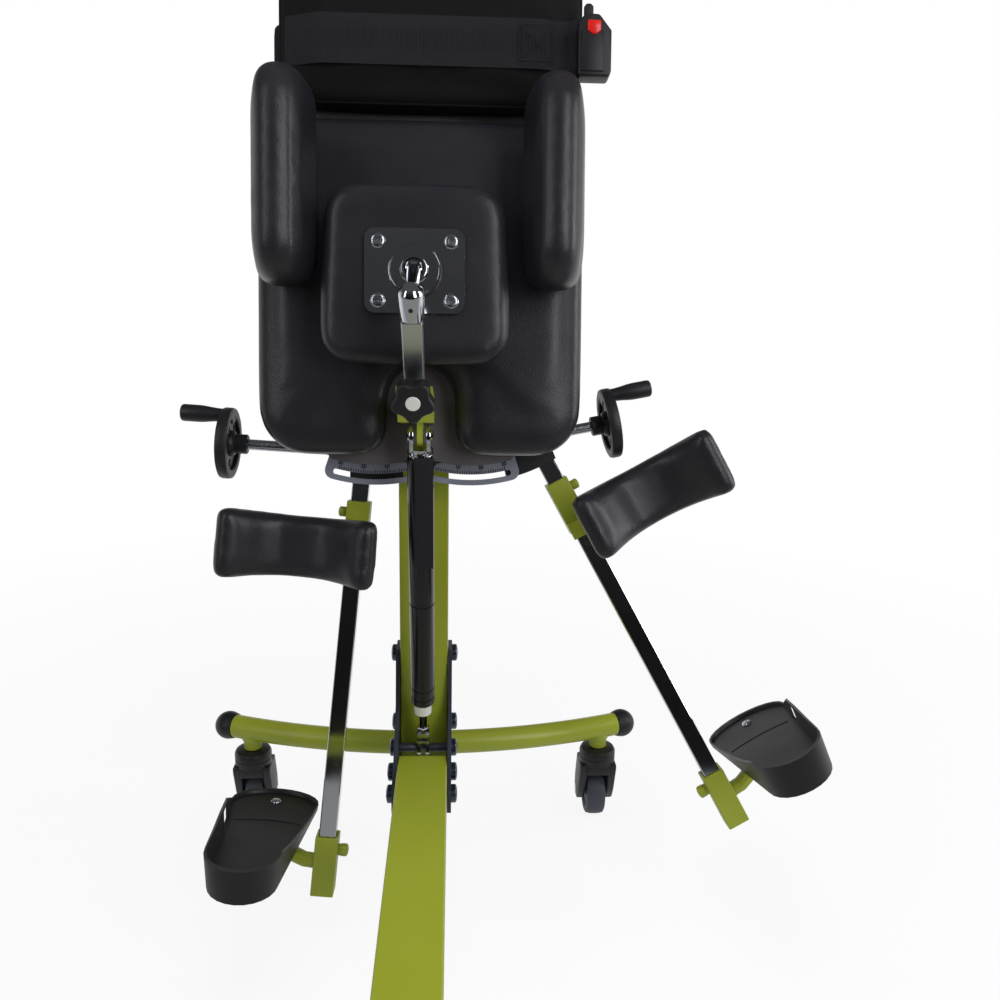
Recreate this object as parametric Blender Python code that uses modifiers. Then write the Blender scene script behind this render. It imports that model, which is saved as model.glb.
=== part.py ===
"""Pneumatic standing frame: wheeled base, gas spring, tilting pads and two abducting legs."""
import math

import bmesh
import bpy
from mathutils import Matrix, Vector

# Driving dimensions, in metres and degrees.
# The model is laid out about the column: X to the right, Y away from the user's back, Z up.
GAP = 0.0003
RUN = 0.0005

# Base
SQUARE_TUBE = 0.060
SQUARE_WALL = 0.003
SPINE_TOP = 0.1975
SPINE_FAR_Y = -0.080
SPINE_LENGTH = 0.560
COLUMN_BOTTOM = 0.128
COLUMN_TOP = 0.620
JOINT_PLATE = 0.005
JOINT_PLATE_TOP = 0.314
JOINT_PLATE_BACK = 0.012
JOINT_PLATE_NEAR = 0.056
JOINT_PLATE_LOW = 0.1505
BOLT_SHANK = 0.0042
BOLT_HEAD = 0.0095
BOLT_HEAD_HEIGHT = 0.005
CROSS_RADIUS = 0.016
CROSS_HEIGHT = 0.147
CROSS_HALF = 0.270
CROSS_SWEEP = 0.050
BALL_RADIUS = 0.0195
BALL_SET_BACK = 0.0085
SADDLE_HALF = 0.022
SADDLE_RISE = 0.011

# Castors
CASTOR_X = CROSS_HALF - 0.024
CASTOR_TOP = 0.1185
COLLAR_RADIUS = 0.0125
STEM_RADIUS = 0.0055
STEM_LENGTH = 0.021
CROWN_RADIUS = 0.0255
CROWN_HEIGHT = 0.020
WHEEL_RADIUS = 0.0375
WHEEL_WIDTH = 0.027
WHEEL_SIDE_GAP = 0.0015
FORK_LEG = 0.0110
TRAIL = 0.022
AXLE_RADIUS = 0.004

# Tilt hinge at the top of the column
HINGE_Y = 0.020
HINGE_Z = 0.700
PRONE_LEAN = 10.0
HEAD_PLATE = 0.008
EAR = 0.008
EAR_RADIUS = 0.019
LUG_HALF = 0.0165
PIN_RADIUS = 0.008

# Gas spring
GAS_FOOT_Y = -0.055
GAS_FOOT_Z = 0.195
GAS_EYE_V = -0.145
GAS_EYE_W = -0.1185
GAS_RADIUS = 0.0145
ROD_RADIUS = 0.0045
FORK_HEIGHT = 0.034
COLLAR_START = 0.0555
CYLINDER_START = 0.0713
CYLINDER_END = 0.399
ROD_IN_CYLINDER = 0.100
FORK_CHEEK = 0.005
FORK_HALF = 0.0115
FORK_EYE_RADIUS = 0.0105
FORK_PIN = 0.004
EYE_CLEARANCE = 0.0036
STRAP_WIDTH = 0.020
STRAP_THICK = 0.0025
STRAP_LENGTH = 0.125
STRAP_SHIFT = 0.004
RING_WIRE = 0.0014

# Tilting frame, stacked along v, which is negative towards the user's side
BACK_PLATE_V = -0.022
BACK_PLATE = 0.008
BACK_PLATE_HALF = 0.085
BACK_PLATE_LOW = -0.030
BACK_PLATE_HIGH = 0.100
STAND_OFF_LOW = 0.045
STAND_OFF_HIGH = 0.090
STAND_OFF_IN = 0.030
STAND_OFF_OUT = 0.080
UPRIGHT_HALF = 0.025
UPRIGHT_TOP = 0.430
ARM_BACK_V = -0.054
ARM_THICK = 0.008
SCALE_BACK_V = -0.064
SCALE_THICK = 0.003
SCREW_V = -0.077
BOARD_BACK_V = -0.092
BOARD_THICK = 0.010

# Pelvic board and pad
PAD_HALF_WIDTH = 0.175
PAD_BOTTOM = -0.141
PAD_TOP = 0.217
PAD_CORNER = 0.052
PAD_DEPTH = 0.040
PAD_ROUND = 0.018
PAD_CROWN = 0.003
SLOT_HALF = 0.036
SLOT_TOP = -0.043
SLOT_LOBE = 0.030
BOARD_INSET = 0.012
BOARD_TOP = 0.232
BOARD_PAST_NUT = 0.013

# Hip guides
HIP_LOW = 0.028
HIP_HIGH = 0.244
HIP_REACH = 0.094
HIP_CENTRE = 0.136
HIP_BASE_THICK = 0.078
HIP_TIP_THICK = 0.046
HIP_CORNER = 0.044
HIP_ROUND = 0.020

# Chest pad, belt and buckle
CHEST_X = 0.010
CHEST_WIDTH = 0.326
CHEST_LOW = 0.221
CHEST_HIGH = 0.460
CHEST_CORNER = 0.045
CHEST_DEPTH = 0.045
CHEST_ROUND = 0.018
CHEST_DRAW_IN = 0.004
CHEST_CROWN = 0.004
CHEST_BOARD = 0.010
CHEST_BOARD_INSET = 0.022
BELT_W = 0.284
BELT_WIDTH = 0.050
BELT_THICK = 0.003
BUCKLE_X = CHEST_X + CHEST_WIDTH / 2 + 0.0025
BUCKLE_W = 0.2755
BUCKLE_LENGTH = 0.060
BUCKLE_WIDTH = 0.034
BUCKLE_DEPTH = 0.022
BUTTON_INSET = 0.012
BUTTON_LENGTH = 0.012
BUTTON_WIDTH = 0.016
BUTTON_DEPTH = 0.008
BUTTON_PROUD = 0.003

# Buttock pad on its arm
ARM_X = -0.004
ARM_FOOT_V = -0.1915
ARM_FOOT_W = -0.0655
ARM_RISE = 39.9
ARM_SIDE = 0.020
ARM_WALL = 0.002
ARM_LOW = -0.044
ARM_HIGH = 0.090
SLEEVE_LOW = -0.045
SLEEVE_HIGH = -0.031
SLEEVE_TIP = 0.010
SLEEVE_HALF = 0.0135
CHEEK_HALF = 0.0185
COUPLING_RADIUS = 0.012
COUPLING_LENGTH = 0.034
SWIVEL_ROD_RADIUS = 0.0065
BALL_JOINT_RADIUS = 0.009
BALL_JOINT_V = -0.2195
BALL_JOINT_W = 0.044
BUTTOCK_BACK_V = -0.162
BUTTOCK_DEPTH = 0.038
BUTTOCK_W = 0.043
BUTTOCK_TOP_WIDTH = 0.184
BUTTOCK_LOW_WIDTH = 0.197
BUTTOCK_HEIGHT = 0.182
BUTTOCK_CORNER = 0.034
BUTTOCK_ROUND = 0.017
SWIVEL_PLATE_W = 0.099
SWIVEL_PLATE_H = 0.083
SWIVEL_PLATE = 0.003
SWIVEL_DISC_RADIUS = 0.027
SWIVEL_DISC = 0.006
KNOB_RADIUS = 0.0225
KNOB_AT = 0.002
KNOB_DEPTH = 0.020
KNOB_STUD = 0.012
STUD_RADIUS = 0.004
KNOB_DROP = 25.0
KNOB_LOBES = 5
TAB_THICK = 0.006

# Legs: t is outwards from the post, r runs down the post from the hip pivot
PIVOT_X = 0.054
PIVOT_W = 0.015
LEFT_ABDUCTION = 5.4
RIGHT_ABDUCTION = 28.9
PIVOT_PIN = 0.0075
PIVOT_BOSS = 0.014
ARM_EYE = 0.022
ARM_HALF_WIDTH = 0.0145
SECTOR_OUT = 0.187
SECTOR_IN = 0.158
SECTOR_INNER_ANGLE = 15.5
SECTOR_OUTER_ANGLE = 3.6
POST_SIDE = 0.020
POST_WALL = 0.002
POST_TOP_R = 0.050
CLAMP_SIDE = 0.027
NUT_R = 0.153
KNEE_CLAMP_DROP = 0.058
KNEE_CLAMP_TOP = NUT_R + KNEE_CLAMP_DROP
KNEE_CLAMP_LENGTH = 0.066
KNEE_STUB_DROP = 0.0145
KNEE_STUB_R = KNEE_CLAMP_TOP + KNEE_STUB_DROP
FOOT_CLAMP_ABOVE_BAR = 0.020
FOOT_CLAMP_LENGTH = 0.072
STUB_RADIUS = 0.0055
STUB_LENGTH = 0.010
KNEE_LEFT_T = 0.058
KNEE_RIGHT_T = 0.085
KNEE_LEFT_DROP = 0.056
KNEE_RIGHT_DROP = 0.061
KNEE_LEFT_R = KNEE_CLAMP_TOP + KNEE_LEFT_DROP
KNEE_RIGHT_R = KNEE_CLAMP_TOP + KNEE_RIGHT_DROP
KNEE_LENGTH = 0.180
KNEE_HEIGHT = 0.076
KNEE_THICK = 0.030
KNEE_WING = 0.056
KNEE_ROUND = 0.012
KNEE_BAR = 0.006
KNEE_BAR_HEIGHT = 0.030
BAR_RADIUS = 0.009
BAR_R = 0.634
BAR_START_R = BAR_R + 0.014
FOOT_CLAMP_TOP = BAR_R - FOOT_CLAMP_ABOVE_BAR
POST_END_R = FOOT_CLAMP_TOP + FOOT_CLAMP_LENGTH - 0.002
BAR_END_T = 0.104
LEFT_TRAY_PITCH = 5.0
RIGHT_TRAY_PITCH = 0.0
TRAY_T = 0.077
TRAY_TOE_HALF = 0.054
TRAY_HEEL_HALF = 0.038
TRAY_TOE_Y = 0.0715
TRAY_TOE_ARC = 0.034
TRAY_HEEL_Y = -0.1025
TRAY_HEEL_ARC = 0.040
TRAY_FLOOR = 0.004
TRAY_WALL = 0.003
TRAY_LIP = 0.0075
TRAY_STEP = 0.3
TRAY_OUTER_WALL = 0.032
TRAY_HEEL_WALL = 0.044
TRAY_LEAN = 0.07
TRAY_LUG_HALF = 0.014
TRAY_LUG_T0 = 0.062
TRAY_LUG_T1 = 0.094
TRAY_SLOT_Y = 0.010
TRAY_SLOT_LENGTH = 0.028
TRAY_SLOT_RISE = 0.006
TRAY_SLOT_HEIGHT = 0.022

# Abduction screws and degree scales
NUT_HALF = 0.012
TRUNNION_RADIUS = 0.0060
SCREW_RADIUS = 0.006
NUT_CLEARANCE = 0.002
ANCHOR_X = 0.022
ANCHOR_DROP = 0.002
ANCHOR_W = PIVOT_W - NUT_R - ANCHOR_DROP
BOARD_RADIUS = NUT_R + BOARD_PAST_NUT
ANCHOR_PIN = 0.0038
ANCHOR_DEPTH = 0.0013
BEARING_HALF = 0.0085
SCREW_START = -0.006
WHEEL_AT = 0.196
HANDWHEEL_RADIUS = 0.040
HANDWHEEL_RIM = 0.0085
HANDWHEEL_WIDTH = 0.011
HUB_RADIUS = 0.0125
HUB_IN = 0.022
HUB_FACE = 0.003
SPOKE_WIDTH = 0.010
SPOKE_THICK = 0.006
CRANK_RADIUS = 0.031
GRIP_LENGTH = 0.048
GRIP_RADIUS = 0.0095
GRIP_NECK = 0.0072
GRIP_PIN = 0.003
SCALE_PAST_NUT = 0.008
SCALE_WIDTH = 0.029
SCALE_LAND = 0.0165
SCALE_SLOT_WIDTH = 0.0062
SCALE_R_IN = NUT_R + SCALE_PAST_NUT
SCALE_R_OUT = SCALE_R_IN + SCALE_WIDTH
SCALE_SLOT_IN = SCALE_R_IN + SCALE_LAND
SCALE_SLOT_OUT = SCALE_SLOT_IN + SCALE_SLOT_WIDTH
SCALE_HALF_ANGLE = 18.5
SCALE_CORNER = 0.010
SLOT_HALF_ANGLE = 15.4
SCALE_BOSS = 0.004
SCALE_BOSS_IN = 0.005
SCALE_BOSS_R = SCALE_R_IN + SCALE_BOSS_IN
SCALE_BOSS_X = 0.006
SCALE_STRIP_ANGLE = 9.0
SCALE_STRIP_HALF = 0.008

LEFT = -1
RIGHT = 1
SIDE_NAME = {LEFT: "left", RIGHT: "right"}

for old in list(bpy.data.objects):
    bpy.data.objects.remove(old)

PARTS = bpy.data.collections.new("standing_frame")
CUTTERS = bpy.data.collections.new("cutters")
bpy.context.scene.collection.children.link(PARTS)
bpy.context.scene.collection.children.link(CUTTERS)

# A flat outline (a, b) stands in one of these planes, with its depth along the named axis
PLANE = {
    "X": Matrix(((0, 0, 1, 0), (1, 0, 0, 0), (0, 1, 0, 0), (0, 0, 0, 1))),
    "-Y": Matrix(((1, 0, 0, 0), (0, 0, -1, 0), (0, 1, 0, 0), (0, 0, 0, 1))),
    "Z": Matrix.Identity(4),
}


def finish(name, red, green, blue, roughness, metallic):
    """Return a plain surface finish."""
    material = bpy.data.materials.new(name)
    material.use_nodes = True
    shader = material.node_tree.nodes["Principled BSDF"]
    shader.inputs["Base Color"].default_value = (red, green, blue, 1.0)
    shader.inputs["Roughness"].default_value = roughness
    shader.inputs["Metallic"].default_value = metallic
    return material


LIME = finish("lime_powder_coat", 0.36, 0.42, 0.05, 0.4, 0.0)
BLACK_STEEL = finish("black_steel", 0.02, 0.02, 0.022, 0.45, 0.0)
CHROME = finish("chrome", 0.75, 0.76, 0.78, 0.1, 1.0)
BLACK_FOAM = finish("black_foam", 0.012, 0.012, 0.014, 0.5, 0.0)
BLACK_PLASTIC = finish("black_plastic", 0.015, 0.015, 0.017, 0.4, 0.0)
BLACK_FABRIC = finish("black_fabric", 0.01, 0.01, 0.011, 0.9, 0.0)
GREY_SCALE = finish("grey_scale", 0.16, 0.17, 0.2, 0.5, 0.0)
WHITE_PLASTIC = finish("white_plastic", 0.8, 0.8, 0.8, 0.4, 0.0)
RED_PLASTIC = finish("red_plastic", 0.7, 0.02, 0.02, 0.35, 0.0)
GREY_RUBBER = finish("grey_rubber", 0.06, 0.065, 0.075, 0.6, 0.0)
STEEL = finish("zinc_steel", 0.55, 0.56, 0.58, 0.3, 1.0)


def empty(name, location, rotation=(0.0, 0.0, 0.0), parent=None):
    """Return a joint axis that pieces hang from."""
    axis = bpy.data.objects.new(name, None)
    PARTS.objects.link(axis)
    axis.parent = parent
    axis.location = location
    axis.rotation_euler = rotation
    return axis


def add_object(name, mesh, parent=None, place=None):
    """Link a mesh as an object at a place in its parent's frame."""
    obj = bpy.data.objects.new(name, mesh)
    PARTS.objects.link(obj)
    obj.parent = parent
    obj.matrix_basis = place if place else Matrix.Identity(4)
    return obj


def from_bmesh(name, shape, parent=None, place=None):
    """Turn an edited shape into an object."""
    mesh = bpy.data.meshes.new(name)
    shape.to_mesh(mesh)
    shape.free()
    return add_object(name, mesh, parent, place)


def as_mesh(obj):
    """Replace an object that has modifiers, or a curve, by its welded mesh."""
    graph = bpy.context.evaluated_depsgraph_get()
    mesh = bpy.data.meshes.new_from_object(obj.evaluated_get(graph))
    shape = bmesh.new()
    shape.from_mesh(mesh)
    bmesh.ops.remove_doubles(shape, verts=shape.verts, dist=0.00001)
    bmesh.ops.recalc_face_normals(shape, faces=shape.faces)
    shape.to_mesh(mesh)
    shape.free()
    name = obj.name
    parent = obj.parent
    place = obj.matrix_basis.copy()
    bpy.data.objects.remove(obj)
    return add_object(name, mesh, parent, place)


def cuboid(name, low, high, parent=None, bevel=0.0, place=None):
    """Return a box between two corners."""
    low = Vector(low)
    high = Vector(high)
    shape = bmesh.new()
    bmesh.ops.create_cube(shape, size=1.0)
    bmesh.ops.scale(shape, vec=high - low, verts=shape.verts)
    bmesh.ops.translate(shape, vec=(low + high) / 2, verts=shape.verts)
    if bevel:
        edges = shape.edges[:]
        bmesh.ops.bevel(shape, geom=edges, offset=bevel, segments=2, profile=0.5, affect="EDGES")
    return from_bmesh(name, shape, parent, place)


def cylinder(name, start, end, radius, parent=None, sides=20, end_radius=None):
    """Return a round bar, or a cone, between two points."""
    start = Vector(start)
    end = Vector(end)
    axis = end - start
    turn = axis.to_track_quat("Z", "Y").to_matrix().to_4x4()
    place = Matrix.Translation((start + end) / 2) @ turn
    tip = radius if end_radius is None else end_radius
    shape = bmesh.new()
    bmesh.ops.create_cone(shape, cap_ends=True, segments=sides, radius1=radius, radius2=tip,
                          depth=axis.length, matrix=place)
    return from_bmesh(name, shape, parent)


def sphere(name, centre, radius, parent=None, sides=16, rings=9):
    """Return a ball."""
    shape = bmesh.new()
    bmesh.ops.create_uvsphere(shape, u_segments=sides, v_segments=rings, radius=radius,
                              matrix=Matrix.Translation(centre))
    return from_bmesh(name, shape, parent)


def turned(name, profile, start, axis, parent=None, steps=20, ring=False):
    """Return a turned piece: its profile of (radius, height) runs down, heights along the axis."""
    mesh = bpy.data.meshes.new(name)
    points = [(radius, 0.0, height) for radius, height in profile]
    edges = [(i, i + 1) for i in range(len(points) - 1)]
    if ring:
        edges.append((len(points) - 1, 0))
    mesh.from_pydata(points, edges, [])
    turn = Vector(axis).to_track_quat("Z", "Y").to_matrix().to_4x4()
    obj = add_object(name, mesh, parent, Matrix.Translation(start) @ turn)
    screw = obj.modifiers.new("turn", "SCREW")
    screw.steps = steps
    screw.render_steps = steps
    screw.use_merge_vertices = True
    screw.merge_threshold = 0.00001
    return as_mesh(obj)


def slab(name, outline, low, high, plane, parent=None):
    """Return a flat outline with its thickness from low to high along the plane's axis."""
    curve = bpy.data.curves.new(name, "CURVE")
    curve.dimensions = "2D"
    curve.fill_mode = "BOTH"
    curve.extrude = (high - low) / 2
    spline = curve.splines.new("POLY")
    spline.points.add(len(outline) - 1)
    for point, (a, b) in zip(spline.points, outline):
        point.co = (a, b, 0.0, 1.0)
    spline.use_cyclic_u = True
    obj = bpy.data.objects.new(name, curve)
    PARTS.objects.link(obj)
    obj.parent = parent
    obj.matrix_basis = PLANE[plane] @ Matrix.Translation((0.0, 0.0, (low + high) / 2))
    return as_mesh(obj)


def tube(name, points, radius, parent=None, resolution=3):
    """Return a round tube along points."""
    curve = bpy.data.curves.new(name, "CURVE")
    curve.dimensions = "3D"
    curve.bevel_depth = radius
    curve.bevel_resolution = resolution
    curve.use_fill_caps = True
    spline = curve.splines.new("POLY")
    spline.points.add(len(points) - 1)
    for point, place in zip(spline.points, points):
        point.co = (*place, 1.0)
    obj = bpy.data.objects.new(name, curve)
    PARTS.objects.link(obj)
    obj.parent = parent
    return as_mesh(obj)


def moulded(name, outline, depth, rounding, parent, place, crown=0.0, crown_inset=0.0, back_rounding=0.0):
    """Return a pad: an outline raised by its depth, rounded at its edges and crowned in front."""
    shape = bmesh.new()
    face = shape.faces.new([shape.verts.new((a, b, 0.0)) for a, b in outline])
    grown = bmesh.ops.extrude_face_region(shape, geom=[face], use_keep_orig=True)
    raised = [item for item in grown["geom"] if isinstance(item, bmesh.types.BMVert)]
    bmesh.ops.translate(shape, vec=(0.0, 0.0, depth), verts=raised)
    bmesh.ops.recalc_face_normals(shape, faces=shape.faces)
    for level, radius, segments in ((depth, rounding, 4), (0.0, back_rounding, 2)):
        edges = [e for e in shape.edges if all(abs(v.co.z - level) < GAP / 10 for v in e.verts)]
        if radius:
            bmesh.ops.bevel(shape, geom=edges, offset=radius, segments=segments, profile=0.5,
                            affect="EDGES", clamp_overlap=True)
    if crown:
        front = max(shape.faces, key=lambda f: f.calc_center_median().z)
        for share in (0.7, 0.3):
            bmesh.ops.inset_region(shape, faces=[front], thickness=crown_inset, depth=crown * share)
    return from_bmesh(name, shape, parent, place)


def retire(obj):
    """Keep a cutter or joined piece as a hidden guide."""
    PARTS.objects.unlink(obj)
    CUTTERS.objects.link(obj)
    obj.hide_render = True
    obj.display_type = "WIRE"


def boolean(obj, others, operation):
    """Cut the other shapes from an object, or join them to it."""
    for other in others:
        change = obj.modifiers.new(operation.lower(), "BOOLEAN")
        change.operation = operation
        change.solver = "EXACT"
        change.object = other
        retire(other)
    return obj


def cut(obj, *others):
    """Cut shapes from an object."""
    return boolean(obj, others, "DIFFERENCE")


def fuse(obj, *others):
    """Join shapes to an object."""
    return boolean(obj, others, "UNION")


def dress(obj, material, sharp=40.0):
    """Give a piece its finish and smooth shading."""
    obj.data.materials.clear()
    obj.data.materials.append(material)
    obj.data.shade_smooth()
    obj.data.set_sharp_from_angle(angle=math.radians(sharp))
    return obj


def arc(centre, radius, start, end, count):
    """Return points on an arc, with angles in degrees from +a towards +b."""
    points = []
    for i in range(count):
        angle = math.radians(start + (end - start) * i / (count - 1))
        points.append((centre[0] + radius * math.cos(angle), centre[1] + radius * math.sin(angle)))
    return points


def rounded(corners, radius, count=6):
    """Return a closed outline through corners, each rounded by the radius or a lesser one."""
    points = []
    total = len(corners)
    for i in range(total):
        here = Vector(corners[i])
        before = (Vector(corners[i - 1]) - here)
        after = (Vector(corners[(i + 1) % total]) - here)
        limit = 0.49 * min(before.length, after.length)
        before.normalize()
        after.normalize()
        half = before.angle(after) / 2
        reach = min(radius / math.tan(half), limit)
        fit = reach * math.tan(half)
        centre = here + (before + after).normalized() * (fit / math.sin(half))
        first = here + before * reach - centre
        last = here + after * reach - centre
        sweep = first.angle_signed(last)
        for k in range(count):
            turn = -sweep * k / (count - 1)
            x = first.x * math.cos(turn) - first.y * math.sin(turn)
            y = first.x * math.sin(turn) + first.y * math.cos(turn)
            points.append((centre.x + x, centre.y + y))
    return points


ROOT = empty("stander_root", (0.0, 0.0, 0.0))
HALF = SQUARE_TUBE / 2
SPINE_NEAR_Y = SPINE_FAR_Y - SPINE_LENGTH
SPINE_MID = SPINE_TOP - HALF
FRONT_CROSS_Y = HALF + CROSS_RADIUS + GAP
REAR_CROSS_Y = SPINE_NEAR_Y - CROSS_RADIUS - GAP


def square_tube(name, low, high, axis, wall, parent=None):
    """Return a square tube that is open at both ends along one axis (0, 1 or 2)."""
    outer = cuboid(name, low, high, parent, bevel=wall * 0.6)
    inner_low = [c + wall for c in low]
    inner_high = [c - wall for c in high]
    inner_low[axis] = low[axis] - wall
    inner_high[axis] = high[axis] + wall
    return cut(outer, cuboid(name + "_hollow", inner_low, inner_high, parent))


# Base: spine, column, joint plates and bolts
BOLT_PLACES = (
    (0.0, JOINT_PLATE_TOP - 0.014),
    (0.0, SPINE_TOP + 0.0055),
    (GAS_FOOT_Y, GAS_FOOT_Z),
    (SPINE_FAR_Y - 0.014, SPINE_MID + 0.016),
    (SPINE_FAR_Y - 0.038, SPINE_MID + 0.0005),
)
PLATE_OUT = HALF + GAP + JOINT_PLATE


def bolt_cutters(name):
    """Return one clearance bar for each cross bolt."""
    bars = []
    for i, (y, z) in enumerate(BOLT_PLACES):
        reach = 2 * HALF
        bars.append(cylinder(f"{name}_bolt_hole_{i}", (-reach, y, z), (reach, y, z), BOLT_SHANK + RUN, ROOT, 12))
    return bars


def build_base():
    """Build the spine, and the joint plates with their through bolts."""
    spine = square_tube("base_spine", (-HALF, SPINE_NEAR_Y, SPINE_TOP - SQUARE_TUBE),
                        (HALF, SPINE_FAR_Y, SPINE_TOP), 1, SQUARE_WALL, ROOT)
    dress(cut(spine, *bolt_cutters("spine")), LIME)

    low = JOINT_PLATE_LOW
    near = SPINE_FAR_Y - JOINT_PLATE_NEAR
    outline = rounded([
        (near, low), (JOINT_PLATE_BACK, low), (JOINT_PLATE_BACK, JOINT_PLATE_TOP), (-HALF, JOINT_PLATE_TOP),
        (-HALF - 0.012, SPINE_TOP + 0.05), (SPINE_FAR_Y - 0.014, SPINE_TOP + 0.002), (near, SPINE_MID + 0.012),
    ], 0.005, 4)
    joined = []
    for side in (LEFT, RIGHT):
        span = sorted((side * (HALF + GAP), side * PLATE_OUT))
        joined.append(slab("joint_plate", outline, span[0], span[1], "X", ROOT))
    face = PLATE_OUT - GAP
    end = PLATE_OUT + BOLT_HEAD_HEIGHT
    for y, z in BOLT_PLACES:
        profile = [(0.0, end), (BOLT_HEAD, end), (BOLT_HEAD, face), (BOLT_SHANK, face),
                   (BOLT_SHANK, -face), (BOLT_HEAD, -face), (BOLT_HEAD, -end), (0.0, -end)]
        joined.append(turned("bolt", profile, (0.0, y, z), (1.0, 0.0, 0.0), ROOT, 6))
    plates = joined.pop(0)
    plates.name = "joint_plates"
    dress(fuse(plates, *joined), BLACK_STEEL, 25.0)


def cross_point(x, middle_y, way):
    """Return a point of a bowed cross tube, whose ends sweep along way."""
    return (x, middle_y + way * CROSS_SWEEP * (x / CROSS_HALF) ** 2, CROSS_HEIGHT)


def build_cross_tubes():
    """Build both cross tubes with their castor collars, and the ball ends."""
    count = 15
    for end, middle_y, way in (("front", FRONT_CROSS_Y, 1), ("rear", REAR_CROSS_Y, -1)):
        stations = [CROSS_HALF * (2 * i / (count - 1) - 1) for i in range(count)]
        bar = tube(f"{end}_cross_tube", [cross_point(x, middle_y, way) for x in stations], CROSS_RADIUS, ROOT)
        seat = sorted((middle_y, middle_y - way * CROSS_RADIUS))
        fuse(bar, cuboid("saddle", (-SADDLE_HALF, seat[0], CROSS_HEIGHT - SADDLE_RISE),
                         (SADDLE_HALF, seat[1], CROSS_HEIGHT + SADDLE_RISE), ROOT))
        bores = []
        for side in (LEFT, RIGHT):
            x, y, z = cross_point(side * CASTOR_X, middle_y, way)
            fuse(bar, cylinder("castor_collar", (x, y, CASTOR_TOP), (x, y, z), COLLAR_RADIUS, ROOT))
            top = CASTOR_TOP + STEM_LENGTH + RUN
            bores.append(cylinder("castor_bore", (x, y, CASTOR_TOP - RUN), (x, y, top), STEM_RADIUS + RUN, ROOT))
            tip = Vector(cross_point(side * CROSS_HALF, middle_y, way))
            slope = way * 2 * CROSS_SWEEP / CROSS_HALF
            outward = Vector((side, slope, 0.0)).normalized()
            centre = tip + outward * (BALL_RADIUS - BALL_SET_BACK)
            ball = sphere(f"tube_end_ball_{end}_{SIDE_NAME[side]}", centre, BALL_RADIUS, ROOT)
            if end == "rear":
                fuse(bar, ball)
                continue
            inner = centre - outward * 2 * BALL_RADIUS
            seat = cylinder("ball_seat", inner, tip + outward * RUN * 2, CROSS_RADIUS + RUN, ROOT, 24)
            dress(cut(ball, seat), BLACK_PLASTIC)
        dress(cut(bar, *bores), LIME)


def build_castor(end, middle_y, way, side):
    """Build one castor: a fork on its stem, and a wheel on its axle."""
    label = f"{end}_{SIDE_NAME[side]}"
    x, y, _ = cross_point(side * CASTOR_X, middle_y, way)
    swivel = empty(f"castor_axis_{label}", (x, y, 0.0), parent=ROOT)
    axle = empty(f"axle_{label}", (0.0, TRAIL, WHEEL_RADIUS), parent=swivel)
    top = CASTOR_TOP - GAP
    under = top - CROWN_HEIGHT
    fork = turned(f"castor_fork_{label}", [
        (0.0, CASTOR_TOP + STEM_LENGTH), (STEM_RADIUS, CASTOR_TOP + STEM_LENGTH), (STEM_RADIUS, top),
        (CROWN_RADIUS * 0.75, top), (CROWN_RADIUS, top - 0.006), (CROWN_RADIUS, under), (0.0, under),
    ], (0.0, 0.0, 0.0), (0.0, 0.0, 1.0), swivel)
    inner = WHEEL_WIDTH / 2 + WHEEL_SIDE_GAP
    outer = inner + FORK_LEG
    outline = rounded([
        (-CROWN_RADIUS * 0.75, top - 0.004), (-CROWN_RADIUS * 0.75, under - 0.008),
        (TRAIL - 0.010, WHEEL_RADIUS - 0.012), (TRAIL + 0.012, WHEEL_RADIUS - 0.012),
        (TRAIL + 0.014, WHEEL_RADIUS + 0.020), (CROWN_RADIUS * 0.8, top - 0.004),
    ], 0.009, 4)
    legs = []
    for face in (LEFT, RIGHT):
        span = sorted((face * inner, face * outer))
        legs.append(slab(f"fork_leg_{label}", outline, span[0], span[1], "X", swivel))
    bar = cylinder(f"fork_axle_{label}", (-outer + 0.002, TRAIL, WHEEL_RADIUS), (outer - 0.002, TRAIL, WHEEL_RADIUS),
                   AXLE_RADIUS, swivel, 12)
    dress(fuse(fork, *legs, bar), BLACK_PLASTIC)
    bore = AXLE_RADIUS + RUN
    half = WHEEL_WIDTH / 2
    wheel = turned(f"castor_wheel_{label}", [
        (bore, half - 0.001), (WHEEL_RADIUS * 0.75, half - 0.001), (WHEEL_RADIUS * 0.78, half),
        (WHEEL_RADIUS - 0.005, half), (WHEEL_RADIUS - 0.001, half - 0.005), (WHEEL_RADIUS, 0.0),
        (WHEEL_RADIUS - 0.001, 0.005 - half), (WHEEL_RADIUS - 0.005, -half), (WHEEL_RADIUS * 0.78, -half),
        (WHEEL_RADIUS * 0.75, 0.001 - half), (bore, 0.001 - half),
    ], (0.0, 0.0, 0.0), (1.0, 0.0, 0.0), axle, 20, ring=True)
    dress(wheel, GREY_RUBBER)


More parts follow.
